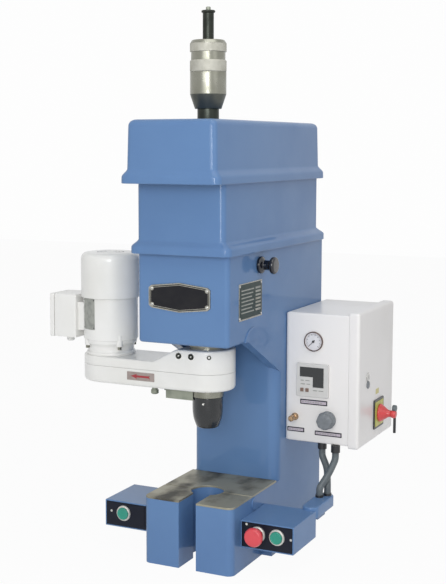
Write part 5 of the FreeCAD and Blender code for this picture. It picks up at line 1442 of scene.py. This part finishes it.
@dataclass
class ControlBox:
    """The control box on the column: case, door, gauge, timer, valves, labels and switch."""

    left: float = 103.0
    right: float = 250.0
    front: float = 182.5
    back: float = 427.0
    bottom: float = 226.0
    top: float = 514.0
    door_outer: float = 274.0
    sheet: float = 2.5
    gauge: tuple[float, float] = (169.0, 452.0)
    timer: tuple[float, float] = (168.5, 366.0)
    valve: tuple[float, float] = (127.0, 281.0)
    regulator: tuple[float, float] = (203.5, 281.0)
    switch: tuple[float, float] = (318.0, 277.0)
    lock: tuple[float, float] = (242.0, 372.0)
    zero: float = 45.0

    def shell(self, plan: Sequence[float], path: Sequence[Sequence[float]], ease: Sequence[float],
              corner: float) -> Surface:
        """An open sheet-metal shell that lies on its side.

        Args:
            plan: (y0, y1, z0, z1) of its outside.
            path: rows of (distance in, x) from the inner to the outer flat face.
            ease: rounding at each inner point of the path.
            corner: corner radius in the plan.

        Returns:
            The surface.
        """
        return lofted(inset_rows(plan, corner, eased(path, ease)), facing=Facing.RIGHT)

    def hinges(self, piece: Piece, levels: Iterable[float], leaf: Sequence[float]) -> Piece:
        """Add the knuckles and leaves of one side of the hinges."""
        for z in levels:
            knuckle = turned([
                (0.0, z), (3.5, z), (3.5, z + 14.0), (0.0, z + 14.0)], 0.5, (250.3, 432.5, 0.0),
                steps=24)
            plate = block((leaf[0], leaf[2], z), (leaf[1], leaf[3], z + 14.0), 0.6, 0.3)
            piece.add(knuckle, BOX_ENAMEL).add(plate, BOX_ENAMEL)
        return piece

    def case(self) -> bpy.types.Object:
        """The case, open towards the door."""
        plan = (self.front, self.back, self.bottom, self.top)
        shell = self.shell(plan, [
            (20.0, self.left + self.sheet), (self.sheet, self.left + self.sheet),
            (self.sheet, self.right),
            (0.0, self.right), (0.0, self.left), (20.0, self.left)], [4.0, 0.2, 0.4, 9.0], 4.0)
        piece = Piece("control_case", "frame", "box_paint", ("control_box",)).add(shell, BOX_ENAMEL)
        return self.hinges(piece, (256.0, 454.0), (232.0, 250.0, 426.6, 429.4)).place()

    def door(self) -> bpy.types.Object:
        """The deep door with its rounded outer edges."""
        plan = (self.front, self.back + 1.0, self.bottom - 6.0, self.top + 6.0)
        x0 = self.right + 0.3
        shell = self.shell(plan, [
            (20.0, self.door_outer - self.sheet), (self.sheet, self.door_outer - self.sheet),
            (self.sheet, x0),
            (0.0, x0), (0.0, self.door_outer), (20.0, self.door_outer)], [4.0, 0.2, 0.5, 7.5], 6.0)
        piece = Piece("control_door", "door", "box_paint", ("box_door",)).add(shell, BOX_ENAMEL)
        return self.hinges(piece, (270.3, 468.3), (250.6, 262.0, 427.6, 429.4)).place()

    def gauge_body(self) -> bpy.types.Object:
        """The pressure gauge: rim, dial, ticks and centre pin."""
        x, z = self.gauge
        at = (x, self.front, z)
        piece = Piece("pressure_gauge", "frame", "bezel_plastic", ("gauge_case",))
        piece.add(turned([
            (19.6, -1.0), (22.0, -1.0), (22.0, 3.4), (21.0, 5.0), (19.8, 5.0), (19.4, 2.4)],
            [0.3, 1.0, 0.6, 0.4], at, Facing.FRONT, 96, ring=True), GAUGE_RIM)
        piece.add(turned([(0.0, 0.2), (19.7, 0.2), (19.7, 2.2), (0.0, 2.2)], 0.2, at, Facing.FRONT,
            96), GAUGE_WHITE)
        for index in range(28):
            degrees = -135.0 + 10.0 * index
            long_tick = index % 3 == 0
            tick = block(
                (x - (0.42 if long_tick else 0.22), self.front - 2.5,
                    z + (13.4 if long_tick else 15.2)),
                (x + (0.42 if long_tick else 0.22), self.front - 2.1, z + 17.4), 0.1, 0.05,
                Facing.FRONT)
            piece.add(tick.turned_about(1, degrees, at), MOULDED_BLACK)
        piece.add(turned([
            (0.0, 2.0), (1.2, 2.0), (1.2, 4.6), (0.0, 4.8)], 0.2, at, Facing.FRONT, 20),
            MOULDED_BLACK)
        return piece.place()

    def pointer(self) -> bpy.types.Object:
        """The gauge's pointer, at rest towards the lower left."""
        x, z = self.gauge
        at = (x, self.front, z)
        hub = turned([(1.25, 3.2), (2.7, 3.2), (2.7, 4.0), (1.25, 4.0)], 0.2, at, Facing.FRONT, 24,
            ring=True)
        needle = slab([(-0.8, 5.0), (-0.45, -15.0), (0.45, -15.0), (0.8, 5.0)], 3.4, 3.9, 0.05, at,
            Facing.FRONT)
        needle = needle.turned_about(1, self.zero, at)
        piece = Piece("pointer_needle", "gauge_pointer", "black_plastic", ("gauge_pointer",))
        return piece.add(hub, MOULDED_BLACK).add(needle, MOULDED_BLACK).place()

    def timer_unit(self) -> bpy.types.Object:
        """The square panel timer: frame, stepped dark display, field and keys."""
        x, z = self.timer
        y = self.front
        piece = Piece("panel_timer", "frame", "black_plastic", ("timer_case",))
        piece.add(block((x - 37.0, y - 5.6, z - 37.0), (x + 37.0, y + 1.0, z + 37.0), 2.5, 1.6,
            Facing.FRONT), TIMER_FRAME)
        step = [
            (-29.0, 29.0), (-29.0, 7.5), (1.5, 7.5), (1.5, -15.0), (26.5, -15.0), (26.5, 29.0)]
        piece.add(slab(step, 4.8, 6.2, 0.3, (x, y, z), Facing.FRONT), DISPLAY_BLACK)
        for x0, x1 in ((-27.5, -20.0), (-15.5, -8.0)):
            key = block((x + x0, y - 7.2, z - 26.0), (x + x1, y - 5.0, z - 18.0), 0.8, 0.5,
                Facing.FRONT)
            piece.add(key, KEY_BROWN)
        for z0, spans in (
                (-1.0, ((-27.0, -20.0), (-16.0, -6.0))), (-9.0, ((-27.0, -17.0), (-13.0, -5.0))),
                (-22.0, ((2.0, 12.0), (15.0, 26.0)))):
            for x0, x1 in spans:
                mark = block((x + x0, y - 5.75, z + z0 - 1.0), (x + x1, y - 5.4, z + z0 + 1.0), 0.2,
                    0.05, Facing.FRONT)
                piece.add(mark, ETCHED_GREY)
        return piece.place()

    def fittings(self) -> bpy.types.Object:
        """The fixed bases of the needle valve and the regulator."""
        piece = Piece("valve_bases", "frame", "turned_brass", ("valve_bodies",))
        x, z = self.valve
        piece.add(turned([
            (2.7, -2.0), (8.2, -2.0), (8.2, 5.0), (6.6, 8.6), (2.7, 9.0)], [0.4, 0.8, 1.0],
            (x, self.front, z), Facing.FRONT, 6 * 8, ring=True), BRASS)
        x, z = self.regulator
        piece.add(turned([
            (3.7, -1.0), (19.0, -1.0), (19.0, 3.2), (3.7, 4.0)], [0.5, 0.8],
            (x, self.front, z), Facing.FRONT, 64, ring=True), KNOB_GREY)
        return piece.place()

    def needle(self) -> bpy.types.Object:
        """The brass needle-valve knob with a knurled grip."""
        x, z = self.valve
        cols, rows = 96, 9
        height = np.linspace(14.0, 29.0, rows)
        angle = np.linspace(0.0, TURN, cols, endpoint=False)
        radius = 6.2 + 0.3 * np.cos(angle * 24)[None] * np.ones((rows, 1))
        radius[0], radius[-1] = 5.4, 5.2
        ends = [np.full((1, cols), 0.02), np.full((1, cols), 4.6)]
        radii = np.vstack(ends + [radius, np.full((1, cols), 0.02)])
        levels = np.concatenate([[9.2, 9.2], height, [30.0]])
        local = np.stack([
            radii * np.cos(angle), radii * np.sin(angle),
            np.broadcast_to(levels[:, None], radii.shape)], axis=2)
        grip = Surface(
            placed(local, (x, self.front, z), Facing.FRONT),
            grid_faces(*radii.shape) + end_caps(*radii.shape))
        return Piece("needle_grip", "needle_knob", "turned_brass", ("needle_knob",)).add(grip,
            BRASS).place()

    def regulator_grip(self) -> bpy.types.Object:
        """The grey regulator knob with finger lobes.

        The radius at angle a is R + 0.7 cos(8a), less towards both faces.
        """
        x, z = self.regulator
        cols = 128
        angle = np.linspace(0.0, TURN, cols, endpoint=False)
        shape = np.array([
            [0.02, 4.6], [17.0, 4.6], [19.3, 5.4], [19.6, 8.0], [19.4, 13.5], [18.2, 14.8],
            [16.8, 15.4],
            [16.9, 17.0], [17.4, 22.0], [16.9, 25.6], [15.4, 27.0], [0.02, 27.4]])
        lobes = np.array([0.0, 0.0, 0.4, 0.8, 0.8, 0.4, 0.2, 0.5, 0.7, 0.5, 0.2, 0.0])
        radii = shape[:, :1] + lobes[:, None] * np.cos(8 * angle)[None]
        local = np.stack([
            radii * np.cos(angle), radii * np.sin(angle),
            np.broadcast_to(shape[:, 1:], radii.shape)], axis=2)
        grip = Surface(
            placed(local, (x, self.front, z), Facing.FRONT),
            grid_faces(*radii.shape) + end_caps(*radii.shape))
        return Piece("regulator_grip", "regulator_knob", "grey_plastic",
            ("regulator_knob",)).add(grip, KNOB_GREY).place()

    def labels(self) -> bpy.types.Object:
        """Three framed label strips with plain dashes."""
        piece = Piece("label_frames", "frame", "plate_silver", ("label_strips",))
        for x0, x1, z0, z1 in ((139.0, 202.0, 311.0, 322.0), (109.0, 149.0, 247.0, 257.0),
                (174.0, 236.0, 244.0, 254.0)):
            y = self.front
            piece.add(block((x0, y - 0.9, z0), (x1, y + 0.2, z1), 0.6, 0.2, Facing.FRONT),
                PANEL_BLACK)
            piece.add(block((x0 + 2.2, y - 1.1, z0 + 2.2), (x1 - 2.2, y - 0.5, z1 - 2.2), 0.3, 0.1,
                Facing.FRONT), STRIP_PALE)
            count = int((x1 - x0 - 10.0) / 6.0)
            for index in range(count):
                start = x0 + 5.0 + index * 6.0
                middle = (z0 + z1) / 2
                dash = block((start, y - 1.2, middle - 0.9),
                    (start + 3.2 + (index % 3) * 0.8, y - 0.9, middle + 0.9), 0.2, 0.05,
                    Facing.FRONT)
                piece.add(dash, ETCHED_GREY)
        return piece.place()

    def switch_plate(self) -> bpy.types.Object:
        """The isolator's black back plate and yellow face."""
        y, z = self.switch
        piece = Piece("isolator_face", "door", "yellow_plastic", ("isolator_plate",))
        x = self.door_outer
        piece.add(block((x - 0.5, y - 33.5, z - 33.0), (x + 3.0, y + 33.5, z + 33.0), 3.0, 1.0,
            Facing.RIGHT), MOULDED_BLACK)
        piece.add(block((x + 2.0, y - 28.0, z - 28.0), (x + 4.0, y + 28.0, z + 28.0), 2.5, 0.5,
            Facing.RIGHT), YELLOW_FACE)
        return piece.place()

    def switch_handle(self) -> bpy.types.Object:
        """The red isolator handle, a flared cone with a round end and a dark lever through it."""
        y, z = self.switch
        x = self.door_outer
        at = (x, y, z)
        cone = turned([
            (0.0, 4.4), (20.0, 4.4), (20.5, 7.5), (16.0, 14.0), (8.5, 24.0), (7.4, 31.0),
            (9.4, 34.0), (9.4, 42.5),
            (0.0, 43.5)], [1.0, 2.0, 4.0, 5.0, 2.5, 2.0, 3.0], at, Facing.RIGHT, 72)
        lever = block((x + 36.5, y - 3.6, z - 43.0), (x + 42.5, y + 3.6, z + 10.0), 3.0, 1.6)
        knob = turned([
            (0.0, 34.5), (7.0, 34.5), (7.4, 39.0), (7.0, 43.5), (0.0, 44.0)], [1.5, 2.5, 2.0],
            (x, y, z + 13.5), Facing.RIGHT, 40)
        piece = Piece("isolator_grip", "isolator_handle", "red_plastic", ("isolator_handle",))
        return piece.add(cone, RED_HANDLE).add(lever, MOULDED_BLACK).add(knob, CONDUIT_GREY).place()

    def door_barrel(self) -> bpy.types.Object:
        """The chromed lock, with a thin black bar on its face as painted shade for the key slot."""
        y, z = self.lock
        x = self.door_outer
        piece = Piece("lock_barrel", "door_lock", "bright_chrome", ("door_lock",))
        piece.add(turned([
            (0.0, -18.0), (7.6, -18.0), (7.6, 0.4), (10.0, 0.4), (10.0, 1.4), (7.6, 2.6),
            (0.0, 2.6)],
            [0.3, 0.1, 0.1, 0.8, 0.8], (x, y, z), Facing.RIGHT, 56), CHROME)
        # A black bar on the face: painted shade standing in for the recessed key slot.
        piece.add(block((x + 2.4, y - 0.9, z - 4.0), (x + 2.75, y + 0.9, z + 4.0), 0.4, 0.1,
            Facing.RIGHT), MOULDED_BLACK)
        piece.add(block((x - 20.0, y - 7.0, z - 7.0), (x - 18.0, y + 7.0, z + 24.0), 3.0, 0.4,
            Facing.RIGHT), SATIN_STEEL)
        return piece.place()

    def dust_cap(self) -> bpy.types.Object:
        """The grey cap that hangs below the lock."""
        y, z = self.lock
        cap = turned([
            (0.0, -0.2), (8.6, -0.2), (8.6, 2.0), (6.0, 3.2), (0.0, 3.4)], [0.2, 1.2, 1.6],
            (self.door_outer, y, z - 17.5), Facing.RIGHT, 48)
        return Piece("lock_dust_cap", "door", "grey_plastic").add(cap, KNOB_GREY).place()

    def sticker(self) -> bpy.types.Object:
        """The bare yellow sticker above the isolator."""
        x = self.door_outer
        patch = block((x - 0.2, 300.0, 322.0), (x + 0.25, 322.0, 334.0), 1.0, 0.05, Facing.RIGHT)
        return Piece("bare_sticker", "door", "yellow_plastic").add(patch, STICKER_YELLOW).place()

    def build(self) -> list[bpy.types.Object]:
        """Make the box and everything on it."""
        return [
            self.case(), self.door(), self.gauge_body(), self.pointer(), self.timer_unit(),
            self.fittings(),
            self.needle(), self.regulator_grip(), self.labels(), self.switch_plate(),
            self.switch_handle(),
            self.door_barrel(), self.dust_cap(), self.sticker(),
        ]


@dataclass
class HeadFittings:
    """The blank badge and rating plate on the head, and the side knob."""

    head_front: float = -119.0
    side: float = 103.0
    badge: tuple[float, float] = (-6.0, 573.0)
    knob: tuple[float, float] = (34.0, 631.0)

    def badge_outline(self, grow: float) -> list[tuple[float, float]]:
        """The eight-sided outline of the badge, grown or drawn in by a distance."""
        w, n, h, p = 70.0 + grow, 64.0 + grow, 23.5 + grow, 30.5 + grow
        return [(-w, -h + 5), (-n, -h), (0.0, -p), (n, -h), (w, -h + 5), (w, h - 5), (n, h),
            (0.0, p), (-n, h), (-w, h - 5)]

    def plates(self) -> bpy.types.Object:
        """The badge with its border and blank field, and the rating plate with plain bars."""
        x, z = self.badge
        at = (x, self.head_front, z)
        piece = Piece("head_plates", "frame", "plate_silver", ("name_plates",))
        rim = [np.array(self.badge_outline(grow)) for grow in (0.0, -0.5, -2.6, -3.2)]
        levels = (0.0, 2.4, 2.4, 1.2)
        rows = [np.column_stack([shape, np.full(len(shape), level)]) for shape,
            level in zip(rim, levels)]
        rows.append(np.column_stack([rim[-1], np.full(len(rim[-1]), 0.0)]))
        border = Surface(
            placed(np.vstack(rows), at, Facing.FRONT), grid_faces(5, len(rim[0]), wrap_rows=True))
        piece.add(border, PLATE_SILVER)
        piece.add(slab(self.badge_outline(-3.0), 0.0, 1.3, 0.1, at, Facing.FRONT), PLATE_BLACK)
        line = [np.array(self.badge_outline(grow)) for grow in (-4.4, -5.4)]
        rows = [
            np.column_stack([line[index], np.full(len(line[0]), level)])
            for index, level in ((0, 1.0), (0, 1.7), (1, 1.7), (1, 1.0))]
        piece.add(Surface(
            placed(np.vstack(rows), at, Facing.FRONT), grid_faces(4, len(line[0]), wrap_rows=True)),
            PLATE_SILVER)
        for dx in (-62.5, 62.5):
            for dz in (-16.5, 16.5):
                seat = turned([(0.0, 0.2), (4.6, 0.2), (4.6, 2.2), (0.0, 2.4)], [0.2, 0.8],
                    (x + dx, at[1], z + dz), Facing.FRONT, 32)
                rivet = turned([(0.0, 1.0), (2.7, 1.0), (2.7, 2.8), (0.0, 3.6)], [0.2, 1.4],
                    (x + dx, at[1], z + dz), Facing.FRONT, 24)
                piece.add(seat, PLATE_SILVER).add(rivet, CHROME)
        piece.add(block((self.side - 0.3, -70.0, 524.0), (self.side + 1.0, 46.0, 600.0), 1.5, 0.3,
            Facing.RIGHT), PLATE_SILVER)
        piece.add(block((self.side + 0.4, -68.0, 527.0), (self.side + 1.15, 44.0, 598.0), 1.0, 0.1,
            Facing.RIGHT), PLATE_GREEN)
        for index in range(7):
            level = 586.0 - index * 7.6
            bar = block((self.side + 1.0, -59.0, level - 2.0),
                (self.side + 1.3, 4.0 - (index % 3) * 5.0, level + 0.6), 0.3, 0.05, Facing.RIGHT)
            piece.add(bar, ETCHED_GREY)
            field_box = block((self.side + 1.0, 12.0, level - 2.6),
                (self.side + 1.3, 38.0, level + 1.6), 0.3, 0.05, Facing.RIGHT)
            piece.add(field_box, PLATE_SILVER if index > 2 else ETCHED_GREY)
        for y in (-65.5, 41.5):
            for z_rivet in (529.0, 595.0):
                piece.add(turned([
                    (0.0, 0.4), (2.6, 0.4), (2.6, 1.6), (0.0, 2.3)], [0.2, 1.0],
                    (self.side, y, z_rivet),
                    Facing.RIGHT, 24), CHROME)
        return piece.place()

    def side_knob(self) -> bpy.types.Object:
        """The polished black spool knob."""
        y, z = self.knob
        spool = turned([
            (0.0, -14.0), (4.9, -14.0), (4.9, 0.5), (16.5, 0.5), (18.0, 2.0), (18.0, 7.0),
            (12.5, 10.5),
            (10.2, 12.0), (10.2, 21.0), (12.5, 25.5), (18.0, 29.0), (18.0, 35.0), (15.5, 38.0),
            (0.0, 38.0)],
            [0.2, 0.2, 0.8, 1.6, 2.0, 1.5, 1.5, 3.0, 3.0, 2.6, 2.4, 1.6], (self.side, y, z),
            Facing.RIGHT, 72)
        piece = Piece("spool_knob", "side_knob", "black_plastic", ("side_knob",))
        return piece.add(spool, BALL_BLACK).place()

    def build(self) -> list[bpy.types.Object]:
        """Make the plates and the knob."""
        return [self.plates(), self.side_knob()]


NODE_FINISHES = {
    "rear_cover": BLUE_ENAMEL, "cylinder_barrel": SATIN_STEEL, "cylinder_caps": PLATE_SILVER,
    "tie_rods": SATIN_STEEL, "quill_bush": BRONZE, "cable_glands": MOULDED_BLACK,
    "conduits": CONDUIT_GREY,
    "box_internals": MOULDED_BLACK, "frame_screws": CHROME, "quill": SATIN_STEEL,
    "piston": PLATE_SILVER,
    "bearings": SATIN_STEEL, "drive_belt": RUBBER, "spindle_shaft": SATIN_STEEL,
    "spindle_pulley": PLATE_SILVER,
    "rotor_shaft": DARK_STEEL, "motor_pulley": PLATE_SILVER, "cooling_fan": MOULDED_BLACK,
    "tool_holder": DARK_STEEL,
}


def dress_nodes() -> None:
    """Give every CAD node that stays in view its own finish."""
    for name, finish in NODE_FINISHES.items():
        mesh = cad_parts[name].data
        mesh.materials.clear()
        mesh.materials.append(finish.material())
        mesh.polygons.foreach_set("material_index", [0] * len(mesh.polygons))
    for name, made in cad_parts.items():
        if name not in NODE_FINISHES and not made.hide_render:
            LOG.warning("node %s has no finish", name)


@dataclass
class Studio:
    """The pale floor, the soft lamps, the world and the camera."""

    camera_place: tuple[float, float, float] = (1.0766, -2.2128, 0.8762)
    yaw: float = 26.7
    pitch: float = 6.1
    lens: float = 72.6
    shift: tuple[float, float] = (0.0522, -0.0334)
    world_level: float = 0.44
    floor_size: float = 14.0

    def camera(self) -> None:
        """Set the camera at the wanted viewing angle."""
        data = bpy.data.cameras.new("camera")
        data.lens = self.lens
        data.sensor_width = 36.0
        data.shift_x, data.shift_y = self.shift
        made = bpy.data.objects.new("camera", data)
        made.location = self.camera_place
        made.rotation_euler = (math.radians(90.0 - self.pitch), 0.0, math.radians(self.yaw))
        bpy.context.scene.collection.objects.link(made)
        bpy.context.scene.camera = made

    def lamp(self, name: str, place: Sequence[float], target: Sequence[float],
            size: Sequence[float], power: float) -> None:
        """Hang one rectangular lamp.

        Args:
            name: its name.
            place: where it hangs, in metres.
            target: the point it faces.
            size: width and height in metres.
            power: watts.
        """
        data = bpy.data.lights.new(name, "AREA")
        data.shape = "RECTANGLE"
        data.size, data.size_y = size
        data.energy = power
        made = bpy.data.objects.new(name, data)
        aim = np.array(target, float) - np.array(place, float)
        across = math.atan2(aim[1], aim[0]) - math.pi / 2
        made.location = place
        made.rotation_euler = (math.pi / 2 + math.atan2(aim[2], math.hypot(aim[0], aim[1])), 0.0,
            across)
        bpy.context.scene.collection.objects.link(made)

    def pale(self, tree: bpy.types.NodeTree, lit: bpy.types.NodeSocket,
            bright: bpy.types.NodeSocket,
             out: bpy.types.NodeSocket) -> None:
        """Bright colour to camera, glossy and transmission rays, and the lit one to the rest."""
        node(tree, "ShaderNodeLightPath", "Path")
        node(tree, "ShaderNodeMath", "Seen", operation="MAXIMUM")
        node(tree, "ShaderNodeMath", "Any", operation="MAXIMUM")
        node(tree, "ShaderNodeMixShader", "Choice")
        wire(tree, ("Path", "Is Camera Ray"), ("Seen", 0))
        wire(tree, ("Path", "Is Glossy Ray"), ("Seen", 1))
        wire(tree, ("Seen", 0), ("Any", 0))
        wire(tree, ("Path", "Is Transmission Ray"), ("Any", 1))
        wire(tree, ("Any", 0), ("Choice", 0))
        tree.links.new(lit, tree.nodes["Choice"].inputs[1])
        tree.links.new(bright, tree.nodes["Choice"].inputs[2])
        tree.links.new(tree.nodes["Choice"].outputs[0], out)

    def world(self) -> None:
        """A plain world: even light for the object, near white to the eye."""
        world = bpy.data.worlds.new("studio_world")
        world.use_nodes = True
        bpy.context.scene.world = world
        tree = world.node_tree
        lit = tree.nodes["Background"]
        lit.inputs["Color"].default_value = (0.95, 0.97, 1.0, 1.0)
        lit.inputs["Strength"].default_value = self.world_level
        bright = node(tree, "ShaderNodeBackground", "Bright")
        bright.inputs["Color"].default_value = (0.985, 0.985, 0.985, 1.0)
        bright.inputs["Strength"].default_value = 1.0
        self.pale(tree, lit.outputs[0], bright.outputs[0],
            tree.nodes["World Output"].inputs["Surface"])

    def floor(self) -> None:
        """A wide pale floor that still takes the object's shadow."""
        half = self.floor_size / 2
        count = 24
        x, y = np.meshgrid(np.linspace(-half, half, count), np.linspace(-half, half, count),
            indexing="ij")
        points = np.stack([x, y, np.zeros_like(x)], axis=2).reshape(-1, 3)
        mesh = bpy.data.meshes.new("floor")
        mesh.from_pydata(points.tolist(), [], grid_faces(count, count, wrap_cols=False))
        material = bpy.data.materials.new("pale_floor")
        material.use_nodes = True
        tree = material.node_tree
        shader = tree.nodes["Principled BSDF"]
        shader.inputs["Base Color"].default_value = (0.90, 0.90, 0.90, 1.0)
        shader.inputs["Roughness"].default_value = 0.9
        shader.inputs["Specular IOR Level"].default_value = 0.1
        glow = node(tree, "ShaderNodeEmission", "Glow")
        glow.inputs["Color"].default_value = (0.985, 0.985, 0.985, 1.0)
        mixed = node(tree, "ShaderNodeMixShader", "Mixed")
        mixed.inputs[0].default_value = 0.97
        tree.links.new(shader.outputs[0], mixed.inputs[1])
        tree.links.new(glow.outputs[0], mixed.inputs[2])
        self.pale(tree, shader.outputs[0], mixed.outputs[0],
            tree.nodes["Material Output"].inputs["Surface"])
        mesh.materials.append(material)
        made = bpy.data.objects.new("floor", mesh)
        bpy.context.scene.collection.objects.link(made)

    def build(self) -> None:
        """Set up the whole studio."""
        bpy.context.scene.view_settings.view_transform = "Standard"
        self.camera()
        self.world()
        self.floor()
        self.lamp("left_key", (0.2, -3.4, 1.8), (0.0, 0.0, 0.55), (1.5, 1.5), 20.0)
        self.lamp("frontal", (1.25, -3.0, 1.15), (0.0, 0.0, 0.6), (0.75, 1.3), 36.0)
        self.lamp("right_fill", (2.7, -0.9, 2.0), (0.0, 0.1, 0.5), (1.4, 1.4), 6.0)
        self.lamp("overhead", (0.8, -0.7, 3.1), (0.0, 0.1, 0.5), (2.0, 2.0), 22.0)


def main() -> None:
    """Build every sub-assembly in order, then the studio."""
    logging.basicConfig(level=logging.INFO, format="%(message)s")
    for assembly in (
            FrameCasting(), Covers(), DepthKnob(), BeltHousing(), Motor(), Nose(), ButtonBoxes(),
            ControlBox(), HeadFittings()):
        made = assembly.build()
        LOG.info("%s: %d pieces", type(assembly).__name__, len(made))
    dress_nodes()
    Studio().build()


if __name__ == "__main__":
    main()
